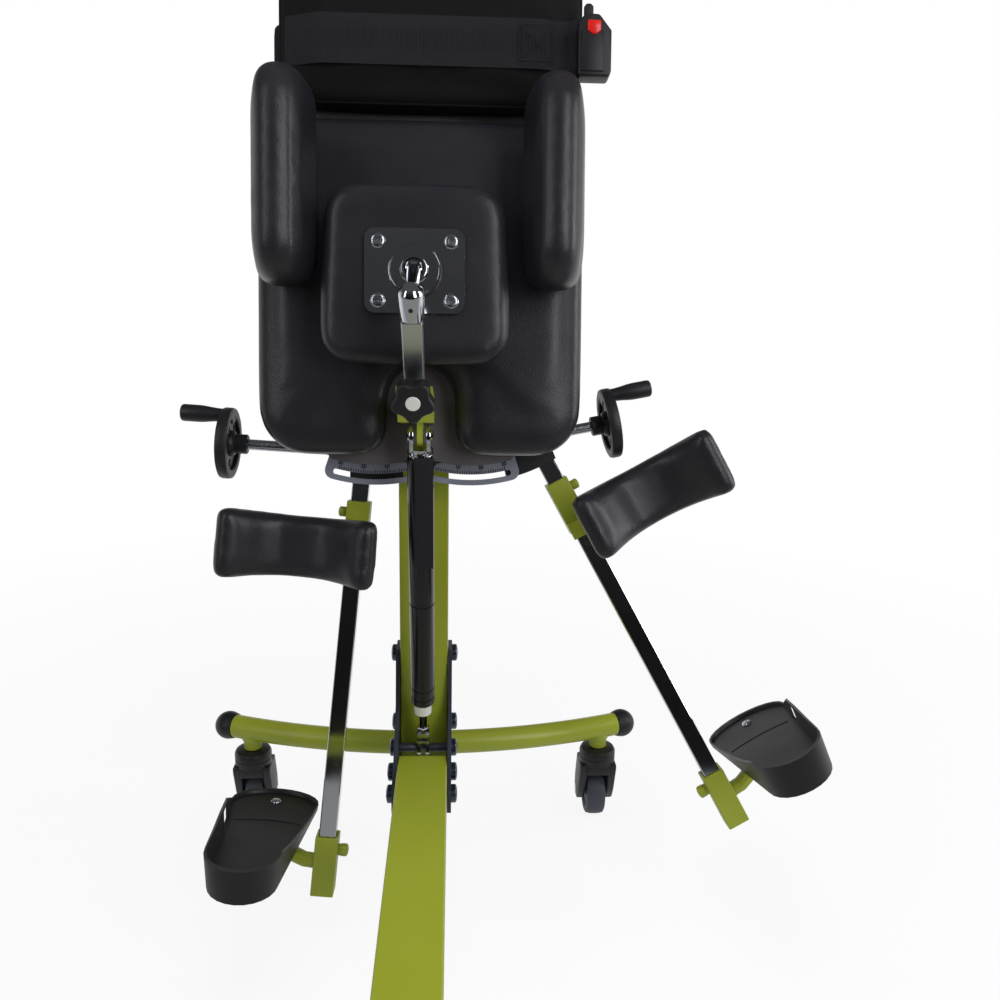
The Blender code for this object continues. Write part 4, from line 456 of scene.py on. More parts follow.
# Cushions
def cushion(node, body, place, held, material, slack, cap, voxel, calm=12, flare=None):
    """Swell a copy of a packed pad by cloth simulation, and keep it flat where it is held."""
    name = node + "_cover"
    piece = bpy.data.objects.new(name, nodes[node].data.copy())
    bpy.context.scene.collection.objects.link(piece)
    if flare:
        for vertex in piece.data.vertices:
            vertex.co = place @ flare(place.inverted() @ vertex.co)
    edit(piece)
    close_up()
    piece.data.remesh_voxel_size = voxel
    bpy.ops.object.voxel_remesh()
    even = piece.modifiers.new("even", "SMOOTH")
    even.iterations = 6
    shrink = piece.modifiers.new("slack", "DISPLACE")
    shrink.strength = -slack
    shrink.mid_level = 0.0
    for modifier in (even, shrink):
        bpy.ops.object.modifier_apply(modifier=modifier.name)
    swell(piece, place.inverted(), held, cap)
    evened = piece.modifiers.new("calm", "SMOOTH")
    evened.iterations = calm
    bpy.ops.object.modifier_apply(modifier=evened.name)
    fine = piece.modifiers.new("fine", "SUBSURF")
    fine.levels = 1
    fine.render_levels = 1
    bpy.ops.object.modifier_apply(modifier=fine.name)
    piece.data.shade_smooth()
    settle(piece, HERE, body, material, node)
    return piece


def swell(piece, into_place, held, cap):
    """Press a cushion out from inside, each point only outwards and no further than the cap."""
    rest = [vertex.co.copy() for vertex in piece.data.vertices]
    pinned = [i for i, point in enumerate(rest) if held((into_place @ point).y)]
    group = piece.vertex_groups.new(name="held")
    group.add(pinned, 1.0, "REPLACE")
    cloth = piece.modifiers.new("stuffing", "CLOTH")
    cloth.settings.use_pressure = True
    cloth.settings.uniform_pressure_force = SWELL_PRESSURE
    cloth.settings.vertex_group_mass = group.name
    cloth.settings.effector_weights.gravity = 0.0
    cloth.collision_settings.use_collision = False
    cloth.point_cache.frame_start = 1
    cloth.point_cache.frame_end = SWELL_FRAMES
    scene = bpy.context.scene
    for number in range(1, SWELL_FRAMES + 1):
        scene.frame_set(number)
    graph = bpy.context.evaluated_depsgraph_get()
    swollen = [vertex.co.copy() for vertex in piece.evaluated_get(graph).data.vertices]
    piece.modifiers.remove(cloth)
    ways = [vertex.normal.copy() for vertex in piece.data.vertices]
    for vertex, start, end, way in zip(piece.data.vertices, rest, swollen, ways):
        vertex.co = start + way * min(max(way.dot(end - start), 0.0), cap)
    piece.vertex_groups.remove(group)
    scene.frame_set(1)


def make_cushions():
    """Make every pad's cover, and return the chest pad's."""
    def behind(v):
        return lambda depth: depth > v - HELD_DEPTH

    def wings(middle):
        waist = 0.955
        spread = 0.165
        lift = 0.0015

        def flare(point):
            share = (abs(point.x - middle.x) / KNEE_HALF) ** 2
            rise = (point.z - middle.z) * (waist + spread * share) + lift * share
            return Vector((point.x, point.y, middle.z + rise))
        return flare

    cushion("pelvic_pad", "tilting_body", TILT, behind(PAD_BACK_V), foam_skin,
            slack=0.0015, cap=0.0030, voxel=0.005)
    for side in (LEFT, RIGHT):
        label = SIDE_NAME[side]
        cushion(f"hip_guide_{label}", f"hip_{label}", TILT, behind(HIP_BACK_V), foam_skin,
                slack=0.0015, cap=0.0025, voxel=0.004)
        knee_low, knee_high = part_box(f"knee_pad_{label}")
        middle = LEG[side].inverted() @ ((knee_low + knee_high) / 2)
        cushion(f"knee_pad_{label}", f"knee_{label}", LEG[side], behind(KNEE_BACK), foam_skin,
                slack=0.0012, cap=0.0020, voxel=0.004, flare=wings(middle))
    cushion("buttock_pad", "buttock", TILT, lambda depth: depth < BUTTOCK_FRONT_V, foam_skin,
            slack=0.0012, cap=0.0025, voxel=0.004)
    return cushion("chest_pad", "tilting_body", TILT, behind(CHEST_BACK_V), chest_cloth,
                   slack=0.003, cap=0.007, voxel=0.005, calm=3)


def web(name, path, width, rib, thick):
    """Lay ribbed webbing along (x, y) points, its width along z, and return it with its length."""
    rib_lift = 0.30 * thick
    lengths = [0.0]
    for before, after in zip(path, path[1:]):
        lengths.append(lengths[-1] + math.dist(before, after))
    total = lengths[-1]
    count = 2 * int(total / rib)
    bpy.ops.object.select_all(action="DESELECT")
    bpy.ops.mesh.primitive_grid_add(x_subdivisions=count, y_subdivisions=6, size=1.0)
    piece = named(name)
    for vertex in piece.data.vertices:
        step = round((vertex.co.x + 0.5) * count)
        at = total * step / count
        k = max(i for i in range(len(path) - 1) if lengths[i] <= at + 0.000001)
        share = (at - lengths[k]) / (lengths[k + 1] - lengths[k])
        before = Vector(path[k])
        after = Vector(path[k + 1])
        way = (after - before).normalized()
        lift = rib_lift * (step % 2) * (1.0 - abs(2 * vertex.co.y) ** 8)
        spot = before.lerp(after, share) + Vector((way.y, -way.x)) * lift
        vertex.co = (spot.x, spot.y, vertex.co.y * width)
    body = piece.modifiers.new("thickness", "SOLIDIFY")
    body.thickness = thick
    body.offset = -1.0
    bpy.ops.object.modifier_apply(modifier=body.name)
    edit(piece)
    close_up(50.0)
    return piece, total


def dress_chest(pad):
    """Lay the belt, its stitching and the welt on the chest cushion, then the buckle."""
    into = TILT.inverted()

    def face(x, w):
        start = TILT @ Vector((x, -0.30, w))
        found, point, _, _ = pad.ray_cast(start, TILT.to_3x3() @ Vector((0.0, 1.0, 0.0)))
        return (into @ point).y if found else None

    heights = [BELT_W + BELT_WIDTH * k for k in (-0.4, 0.0, 0.4)]
    left_end = -0.149
    run = 0.288
    steps = 30
    clearance = 0.0008
    path = []
    for i in range(steps + 1):
        x = left_end + run * i / steps
        depths = [d for d in (face(x, w) for w in heights) if d is not None]
        if depths:
            path.append((x, min(depths) - clearance))
    first_x, first_v = path[0]
    last_v = path[-1][1]
    round_edge = [(first_x - 0.008, first_v + 0.034), (first_x - 0.0075, first_v + 0.012),
                  (first_x - 0.004, first_v + 0.004)]
    into_buckle = [(0.150, last_v - 0.0010), (0.160, min(last_v - 0.0015, -0.1600)), (0.172, -0.1640)]
    path = round_edge + path + into_buckle
    belt, length = web("chest_belt_webbing", path, BELT_WIDTH, 0.0024, 0.0022)
    settle(belt, TILT @ move(0.0, 0.0, BELT_W), "tilting_body", webbing_black, "chest_belt")

    depth = min(d for d in (face(x, BELT_W) for x in (0.105, 0.120, 0.140)) if d is not None) - 0.0036
    low = BELT_W - 0.018
    high = BELT_W + 0.018
    corners = ((0.100, low), (0.138, low), (0.138, high), (0.100, high))
    stitches = 11
    stitch_share = 0.7
    seams = []
    for k, (start, end) in enumerate(((0, 1), (1, 2), (2, 3), (3, 0), (0, 2), (3, 1))):
        x0, w0 = corners[start]
        x1, w1 = corners[end]
        for i in range(stitches):
            shares = (i / stitches, (i + stitch_share) / stitches)
            points = [(x0 + (x1 - x0) * t, depth, w0 + (w1 - w0) * t) for t in shares]
            seams.append(sweep(f"stitch_{k}_{i}", points, 0.0005, resolution=1))
    settle(joined("belt_box_stitch", seams), TILT, "tilting_body", thread)

    inset = 0.004
    edge_v = CHEST_BACK_V - CHEST_DEPTH + 0.012
    welt = []
    for x, w in round_corners(CHEST_HALF[0] - inset, CHEST_HALF[1] - inset, CHEST_CORNER, 12):
        spot = TILT @ Vector((CHEST_MIDDLE[0] + x, edge_v, CHEST_MIDDLE[1] + w))
        welt.append(pad.closest_point_on_mesh(spot)[1])
    settle(sweep("chest_pad_welt", welt, 0.0016, closed=True), HERE, "tilting_body", chest_cloth)
    make_buckle()


def make_buckle():
    """Make the press buckle: shell, face panel, tongue and red button."""
    back = -0.1579
    front = -0.1795
    place = TILT @ FACING
    shell = plate("belt_buckle_shell", [
        (0.1585, 0.2455), (0.1905, 0.2455), (0.1925, 0.2520), (0.1925, 0.2915), (0.1800, 0.3075),
        (0.1660, 0.3075), (0.1585, 0.3000)], -back, -front, 0.0028, 4)
    settle(shell, place, "tilting_body", moulded_black, "belt_buckle")
    panel = plate("belt_buckle_panel", [
        (0.1612, 0.2500), (0.1840, 0.2500), (0.1840, 0.2895), (0.1612, 0.2895)],
        -front - 0.001, -front + 0.0016, 0.0012)
    settle(panel, place, "tilting_body", tray_plastic)
    tongue = plate("belt_tongue", [
        (0.1655, 0.3060), (0.1750, 0.3060), (0.1750, 0.3185), (0.1725, 0.3215), (0.1680, 0.3215),
        (0.1655, 0.3185)], -back + 0.006, -back + 0.011, 0.001)
    settle(tongue, place, "tilting_body", moulded_black)
    button = plate("buckle_button_cap", [
        (0.1675, 0.2895), (0.1720, 0.2860), (0.1765, 0.2860), (0.1810, 0.2895), (0.1810, 0.2995),
        (0.1675, 0.2995)], -front - 0.005, -front + 0.003, 0.0009)
    settle(button, place, "button", button_red, "buckle_button")


# Fasteners
def screw_head(name, radius):
    """Turn a pan head with a round recess and a cross in it."""
    head = turned(name, [
        (radius, -0.0004), (radius, 0.0008), (radius * 0.88, 0.0018), (radius * 0.62, 0.0023),
        (radius * 0.46, 0.0023), (radius * 0.40, 0.0012), (0.0, 0.0010)], 24)
    arm = radius * 0.36
    bar = radius * 0.09
    cross = [head, block("cross", (-arm, -bar, 0.0008), (arm, bar, 0.0019), 0.0001, 1),
             block("cross", (-bar, -arm, 0.0008), (bar, arm, 0.0019), 0.0001, 1)]
    return joined(name, cross)


def dome_head(name):
    """Turn a domed bolt head."""
    return turned(name, [
        (0.0108, 0.0), (0.0108, 0.0050), (0.0103, 0.0057), (0.0088, 0.0065), (0.0055, 0.0072),
        (0.0, 0.0075)], 32)


def dome(name, radius, rise):
    """Turn a round cap for the end of a bar."""
    crown = [(x, y * rise / radius) for x, y in arc((0.0, 0.0), radius, 0.0, 90.0, 8)]
    return turned(name, [(radius, -0.0060)] + crown, 32)


def make_fasteners():
    """Put bolts on the joint plates, screws on the swivel plate and the trays, and caps on the stubs."""
    bolts = ((0.0, 0.300), (0.0, 0.203), GAS_FOOT[1:], (-0.094, 0.1835), (-0.118, 0.168))
    plate_face_x = 0.0353
    heads = []
    for side in (LEFT, RIGHT):
        for k, (y, z) in enumerate(bolts):
            head = dome_head(f"dome_{SIDE_NAME[side]}_{k}")
            spot = FLOOR_PLAN @ move(side * plate_face_x, y, z)
            heads.append(place_at(head, spot @ turn(side * 90.0, "Y")))
    settle(joined("joint_plate_bolts", heads), HERE, "base", blue_zinc)
    spacers = []
    for side in (LEFT, RIGHT):
        spacer = turned(f"spacer_{SIDE_NAME[side]}", [
            (0.0052, 0.0085), (0.0055, 0.0090), (0.0055, 0.0300)], 24)
        spacers.append(place_at(spacer, FLOOR_PLAN @ move(*GAS_FOOT) @ turn(side * 90.0, "Y")))
    settle(joined("gas_foot_spacers", spacers), HERE, "base", slate)

    screw_x = 0.0362
    screw_w = 0.0290
    plate_front_v = -0.2033
    screws = []
    for k, (x, w) in enumerate(((-1, 1), (1, 1), (-1, -1), (1, -1))):
        head = screw_head(f"plate_screw_{k}", 0.0076)
        spot = move(ARM_X + x * screw_x, plate_front_v, SWIVEL_W + w * screw_w)
        screws.append(place_at(head, TILT @ spot @ FACING))
    settle(joined("swivel_plate_screws", screws), HERE, "buttock", zinc)

    for side in (LEFT, RIGHT):
        label = SIDE_NAME[side]
        head = screw_head(f"tray_screw_{label}", 0.0064)
        settle(head, TRAY[side] @ move(side * TRAY_X, 0.078, TRAY_FLOOR), f"tray_{label}", zinc)
        offsets = [0.005 * i - 0.040 for i in range(17)]
        line = [(side * TRAY_X + x, 0.030 - 3.0 * x * x, TRAY_FLOOR) for x in offsets]
        settle(sweep(f"tray_floor_line_{label}", line, 0.0006), TRAY[side], f"tray_{label}", tray_plastic)
        knee = LEG[side] @ move(side * 0.0210, POST_V, -0.2255) @ turn(side * 90.0, "Y")
        settle(dome(f"knee_stub_cap_{label}", 0.0060, 0.0026), knee, f"knee_{label}", lime)
        foot = LEG[side] @ move(side * -0.0232, POST_V, -0.632) @ turn(side * -90.0, "Y")
        settle(dome(f"foot_stub_cap_{label}", 0.0074, 0.0030), foot, f"foot_{label}", lime)


# Degree plates
def make_scales():
    """Print the ticks and numbers on both degree plates."""
    half_tick = 0.00050
    ink_depth = 0.00032

    def swung(side, degrees, depth):
        angle = SCALE_SPAN * (degrees / SCALE_DEGREES - 0.5)
        return TILT @ move(side * PIVOT_X, SCALE_FRONT_V - depth, PIVOT_W) @ turn(-side * angle, "Y")

    for side in (LEFT, RIGHT):
        label = SIDE_NAME[side]
        marks = []
        for k in range(SCALE_DEGREES + 1):
            tall = 0.0052 if k % 10 == 0 else 0.0042 if k % 5 == 0 else 0.0034
            foot = (-half_tick, -ink_depth, -SCALE_PRINT_R)
            mark = block(f"tick_{label}_{k}", foot, (half_tick, 0.0, tall - SCALE_PRINT_R), 0.00008, 1)
            marks.append(place_at(mark, swung(side, k, 0.0)))
        settle(joined(f"scale_ticks_{label}", marks), HERE, "tilting_body", ink)
        digits = []
        for value in (0, 10, 20, 30):
            bpy.ops.object.select_all(action="DESELECT")
            bpy.ops.object.text_add()
            word = bpy.context.object
            word.data.body = str(value)
            word.data.size = 0.0060
            word.data.offset = 0.00018
            word.data.align_x = "CENTER"
            word.data.extrude = ink_depth / 2
            bpy.ops.object.convert(target="MESH")
            spot = swung(side, value, ink_depth / 2) @ move(0.0, 0.0, -SCALE_NUMBER_R)
            digits.append(place_at(bpy.context.object, spot @ FACING))
        settle(joined(f"scale_numbers_{label}", digits), HERE, "tilting_body", ink)


# Arm of the buttock pad
def make_knob():
    """Make the five-lobed clamp knob with its cap and stud."""
    tip = 0.0222
    lobe = 0.105
    count = 100
    outline = []
    for i in range(count):
        angle = 2 * math.pi * i / count
        radius = tip * (1.0 - lobe + lobe * math.cos(5 * (angle + math.pi / 2)))
        outline.append((radius * math.cos(angle), radius * math.sin(angle)))
    place = TILT @ move(*ARM_FOOT) @ move(0.0, -0.0102, -0.0091) @ turn(90.0 + KNOB_DROP, "X")
    head = plate("star_knob_head", outline, 0.0124, 0.0320, 0.0030, 4)
    boss = turned("star_knob_boss", [(0.0090, 0.0030), (0.0100, 0.0060), (0.0105, 0.0130)], 32)
    settle(joined("star_knob_grip", [head, boss]), place, "knob", moulded_black, "star_knob")
    cap = turned("star_knob_cap", [(0.0074, 0.0310), (0.0074, 0.0324), (0.0066, 0.0332), (0.0, 0.0334)], 32)
    settle(cap, place, "knob", white_acetal)
    stud = turned("star_knob_stud", [(0.0040, 0.0), (0.0040, 0.0060)], 20)
    settle(stud, place, "knob", zinc)


def make_swivel():
    """Make the bright coupling, its neck and the ball, with the ring that holds the ball."""
    rise = 0.0903
    coupling = turned("swivel_coupling", [
        (0.0110, rise), (0.0120, rise + 0.0010), (0.0120, rise + 0.0290), (0.0112, rise + 0.0312),
        (0.0068, rise + 0.0345)], 48)
    settle(coupling, ARM, "pad_arm", chrome, "swivel_rod")
    bend = ARM @ Vector((0.0, 0.0, rise + 0.0244))
    ball = TILT @ Vector((ARM_X, -0.2195, SWIVEL_W))
    way = ball - bend
    aim = Matrix.Translation(bend) @ way.to_track_quat("Z", "Y").to_matrix().to_4x4()
    length = way.length
    neck = turned("swivel_neck", [
        (0.0065, 0.002), (0.0065, length - 0.0075), (0.0080, length - 0.0045), (0.0090, length),
        (0.0080, length + 0.0041), (0.0045, length + 0.0078), (0.0, length + 0.0090)], 40)
    settle(neck, aim, "pad_arm", chrome)
    bead = turned("swivel_seat_bead", [
        (0.0125, 0.0), (0.0128, 0.0030), (0.0134, 0.0036), (0.0142, 0.0030), (0.0146, 0.0)], 48, True)
    edge = turned("swivel_disc_edge", [
        (0.0240, -0.0002), (0.0243, 0.0005), (0.0252, 0.0005), (0.0255, -0.0002)], 64, True)
    seat = TILT @ move(ARM_X, -0.2093, SWIVEL_W) @ FACING
    settle(joined("swivel_seat", [bead, edge]), seat, "buttock", chrome)
    pin = turned("coupling_pin", [(0.0022, 0.0), (0.0022, 0.0008), (0.0, 0.0008)], 16)
    settle(pin, ARM @ move(0.0, -0.0119, rise + 0.017) @ FACING, "pad_arm", moulded_black)


# Handwheels
def make_handwheels():
    """Make the pierced handwheels and their revolving grips."""
    for side in (LEFT, RIGHT):
        label = SIDE_NAME[side]
        place = SCREW[side] @ move(side * WHEEL_AT, 0.0, 0.0) @ turn(side * 90.0, "Y")
        rim = turned("rim", [
            (0.0300, -0.0045), (0.0312, -0.0060), (0.0368, -0.0066), (0.0392, -0.0056), (0.0400, -0.0030),
            (0.0400, 0.0030), (0.0392, 0.0056), (0.0368, 0.0066), (0.0312, 0.0060), (0.0300, 0.0045)],
            64, True)
        hub = turned("hub", [
            (0.0100, -0.0220), (0.0110, -0.0210), (0.0110, -0.0090), (0.0135, -0.0070), (0.0150, -0.0020),
            (0.0135, 0.0040), (0.0110, 0.0055), (0.0070, 0.0058), (0.0060, 0.0046), (0.0, 0.0046)], 40)
        pieces = [rim, hub]
        disc = turned("disc", [
            (0.0100, -0.0030), (0.0310, -0.0016), (0.0310, 0.0016), (0.0100, 0.0030)], 64, True)
        hole_count = 5
        hole_ring = 0.0215
        drills = []
        for k in range(hole_count):
            drill = turned("drill", [(0.0042, -0.010), (0.0042, 0.010)], 20)
            spin = turn(360.0 * (k + 0.5) / hole_count, "Z")
            drills.append(place_at(drill, spin @ move(-side * hole_ring, 0.0, 0.0)))
        drill = joined("drills", drills)
        holes = disc.modifiers.new("holes", "BOOLEAN")
        holes.object = drill
        activate(disc)
        bpy.ops.object.modifier_apply(modifier=holes.name)
        bpy.data.objects.remove(drill)
        pieces.append(disc)
        crank = move(-side * CRANK, 0.0, 0.0)
        boss = turned("boss", [
            (0.0085, -0.0050), (0.0088, -0.0030), (0.0088, 0.0050), (0.0078, 0.0056)], 32)
        pin = turned("pin", [(0.0030, 0.0040), (0.0030, 0.0100)], 16)
        pieces += [place_at(boss, crank), place_at(pin, crank)]
        wheel = joined(f"handwheel_{label}_rim", pieces)
        settle(wheel, place, f"screw_{label}", moulded_black, f"handwheel_{label}")
        grip = turned(f"handle_grip_{label}_sleeve", [
            (0.0066, 0.0060), (0.0072, 0.0066), (0.0074, 0.0120), (0.0082, 0.0200), (0.0092, 0.0270),
            (0.0096, 0.0330), (0.0096, 0.0500), (0.0090, 0.0522), (0.0072, 0.0534), (0.0040, 0.0538),
            (0.0, 0.0538)], 40)
        settle(grip, place @ crank, f"grip_{label}", moulded_black, f"handle_grip_{label}")


# Gas spring
def make_gas_spring():
    """Make the cylinder, its upper fork, the guide collar, the pull ring and the ribbed strap."""
    start = CYLINDER_START
    end = CYLINDER_END
    radius = 0.0145
    groove_radius = 0.0136
    rings = [(0.0060, start + 0.0010), (0.0128, start), (0.0142, start + 0.0018)]
    for groove in (start + 0.0107, start + 0.0240, start + 0.1440):
        rings += [(radius, groove - 0.0011), (groove_radius, groove - 0.0006),
                  (groove_radius, groove + 0.0006), (radius, groove + 0.0011)]
    rings += [(radius, end - 0.0030), (0.0127, end), (0.0112, end + 0.0020)]
    body = turned("gas_spring_tube", rings, 48)
    settle(body, GAS, "gas_cylinder", gloss_black, "gas_spring_cylinder")
    neck = GAS_LENGTH - 0.01365
    fork = [turned("fork_root", [(0.0100, end), (0.0105, end + 0.002), (0.0105, neck)], 32)]
    outline = [(-0.0100, neck - 0.002), (0.0100, neck - 0.002)]
    outline += arc((0.0, GAS_LENGTH), 0.0103, 0.0, 180.0, 15)
    fork += paired("cheek", outline, 0.0068, 0.0046, 0.0010, 2)
    for side in (LEFT, RIGHT):
        pin = turned("pin", [(0.0060, 0.0), (0.0060, 0.0020), (0.0045, 0.0030), (0.0, 0.0030)], 24)
        fork.append(place_at(pin, move(side * 0.0113, 0.0, GAS_LENGTH) @ turn(side * 90.0, "Y")))
    settle(joined("gas_spring_fork", fork), GAS, "gas_cylinder", chrome)
    collar = turned("gas_spring_guide", [
        (0.0054, start - 0.0156), (0.0097, start - 0.0156), (0.0106, start - 0.0148),
        (0.0107, start - 0.0006), (0.0054, start - 0.0004)], 40, True)
    settle(collar, GAS, "gas_cylinder", white_acetal, "gas_spring_collar")

    ring_radius = 0.0134
    ring_dip = 0.0036
    ring_points = 48
    ring = []
    for i in range(ring_points):
        angle = 2 * math.pi * i / ring_points
        height = end + 0.0060 - ring_dip * math.cos(angle)
        ring.append((ring_radius * math.sin(angle), -ring_radius * math.cos(angle), height))
    settle(sweep("pull_ring", ring, 0.0008, closed=True), GAS, "gas_cylinder", zinc, "strap_ring")

    front = -0.0176
    top = end - 0.0040
    path = [(-0.0136, end + 0.0042), (-0.0152, end + 0.0032), (-0.0168, end), (front, top)]
    path += [(front, top - STRAP_LENGTH * k / 8) for k in range(1, 9)]
    strap, length = web("pull_strap_webbing", path, STRAP_WIDTH, 0.0030, 0.0020)
    hanging = GAS @ move(STRAP_SHIFT, 0.0, 0.0) @ UPRIGHT
    settle(strap, hanging, "gas_cylinder", webbing_black, "pull_strap")


def make_piston():
    """Make the piston rod and the bright fork on its foot."""
    rod = turned("gas_piston_rod", [(0.0046, 0.0300), (0.0046, 0.1700), (0.0040, 0.1712)], 32)
    settle(rod, GAS, "gas_rod", dark_chrome, "gas_spring_rod")
    nut = turned("nut", [(0.0068, 0.0270), (0.0078, 0.0278), (0.0078, 0.0330), (0.0068, 0.0338)], 6)
    fork = [nut, block("yoke", (-0.0076, -0.0076, 0.0140), (0.0076, 0.0076, 0.0272), 0.0012)]
    outline = [(0.0076, 0.0160), (-0.0076, 0.0160)] + arc((0.0, 0.0), 0.0090, 180.0, 360.0, 15)
    fork += paired("cheek", outline, 0.0028, 0.0048, 0.0008, 2)
    settle(joined("gas_piston_fork", fork), GAS, "gas_rod", zinc)


# Base
def cross_point(x, end):
    """Return a point on a bowed cross tube's middle line."""
    middle, way = CROSS_MIDDLE[end]
    return Vector((x, middle + way * CROSS_SWEEP * (x / CROSS_HALF) ** 2, CROSS_HEIGHT))


def make_base():
    """Draw the cross tubes, their collars and their ball ends."""
    steps = 60
    for end in ENDS:
        points = [cross_point(CROSS_HALF * (2 * i / steps - 1), end) for i in range(steps + 1)]
        pieces = [sweep("bar", points, 0.0160, resolution=14)]
        balls = []
        for side in (LEFT, RIGHT):
            spot = cross_point(side * CASTOR_X, end)
            collar = turned("collar", [
                (0.0110, 0.1186), (0.0125, 0.1196), (0.0125, 0.1290), (0.0150, 0.1345),
                (0.0150, 0.1440)], 40)
            pieces.append(place_at(collar, move(spot.x, spot.y, 0.0)))
            tip = cross_point(side * CROSS_HALF, end)
            outward = (tip - cross_point(side * (CROSS_HALF - 0.005), end)).normalized()
            skirt = [(0.0172, -0.0105), (0.0180, -0.0080)]
            ball = turned("ball", skirt + arc((0.0, 0.0), 0.0195, -20.0, 90.0, 12), 40)
            aim = outward.to_track_quat("Z", "Y").to_matrix().to_4x4()
            balls.append(place_at(ball, Matrix.Translation(tip + outward * 0.0110) @ aim))
        bar = joined(f"{end}_cross_tube_bar", pieces)
        settle(bar, FLOOR_PLAN, "base", lime, f"{end}_cross_tube")
        knobs = joined(f"{end}_tube_end_balls", balls)
        hidden = [f"tube_end_ball_front_{n}" for n in SIDE_NAME.values()] if end == "front" else []
        settle(knobs, FLOOR_PLAN, "base", moulded_black, *hidden)


def make_castors():
    """Model one castor's hood, legs, axle and wheel, and copy it to all four places."""
    hood = turned("hood", [
        (0.0235, 0.0940), (0.0255, 0.0950), (0.0255, 0.1035), (0.0247, 0.1042), (0.0247, 0.1052),
        (0.0255, 0.1060), (0.0255, 0.1120), (0.0235, 0.1160), (0.0180, 0.1180), (0.0, 0.1182)], 48)
    outline = [(-0.0190, 0.0960), (-0.0190, 0.0880), (-0.0060, 0.0500), (0.0040, 0.0320), (0.0120, 0.0262),
               (0.0240, 0.0256), (0.0320, 0.0300), (0.0355, 0.0390), (0.0340, 0.0580), (0.0220, 0.0960)]
    legs = paired("leg", outline, 0.0150, 0.0110, 0.0024)
    front = block("front", (-0.0160, -0.0200, 0.0800), (0.0160, -0.0090, 0.0960), 0.0018)
    fork = joined("castor_fork_model", [hood, *legs, front])
    axle = turned("castor_axle_model", [
        (0.0062, -0.0266), (0.0062, -0.0260), (0.0040, -0.0258), (0.0040, 0.0258), (0.0062, 0.0260),
        (0.0062, 0.0266)], 24)
    half_tyre = [(0.0052, 0.0122), (0.0110, 0.0122), (0.0120, 0.0105), (0.0255, 0.0105), (0.0272, 0.0128),
                 (0.0330, 0.0135), (0.0358, 0.0120), (0.0371, 0.0075)]
    mirrored = [(radius, -height) for radius, height in half_tyre]
    tyre = turned("castor_tyre_model", mirrored + [(WHEEL_RADIUS, 0.0)] + half_tyre[::-1], 56, True)
    for end in ENDS:
        for side in (LEFT, RIGHT):
            label = f"{end}_{SIDE_NAME[side]}"
            spot = cross_point(side * CASTOR_X, end)
            swivel = FLOOR_PLAN @ move(spot.x, spot.y, 0.0)
            hub = swivel @ move(0.0, CASTOR_TRAIL, WHEEL_RADIUS) @ turn(90.0, "Y")
            hood = again(fork, f"castor_hood_{label}")
            settle(hood, swivel, f"fork_{label}", moulded_black, f"castor_fork_{label}")
            settle(again(axle, f"castor_axle_{label}"), hub, f"fork_{label}", zinc)
            wheel = again(tyre, f"castor_tyre_{label}")
            settle(wheel, hub, f"wheel_{label}", tyre_grey, f"castor_wheel_{label}")
    for model in (fork, axle, tyre):
        bpy.data.objects.remove(model)


def dress_packed():
    """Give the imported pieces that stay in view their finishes."""
    for node in ("base_spine", "column", "tilt_frame", "arm_bracket"):
        dress(node, lime)
    dress("joint_plates", slate)
    dress("chest_board", satin_black)
    # The pelvic board's tone is painted lighter than the foam's: painted light
    dress("pelvic_board", board_vinyl_with_painted_light)
    dress("arm_tube", satin_chrome, 0.0020)
    dress("swivel_plate", chrome, 0.0015)
    for label in SIDE_NAME.values():
        for node in ("leg_arm", "screw_nut", "screw_bearing"):
            dress(f"{node}_{label}", satin_black)
        for node in ("knee_clamp", "foot_clamp"):
            dress(f"{node}_{label}", lime)
        dress(f"scale_plate_{label}", scale_grey)
        dress(f"leg_post_{label}", chrome, 0.0020)
        dress(f"lead_screw_{label}", zinc)
        dress(f"foot_tray_{label}", tray_plastic)


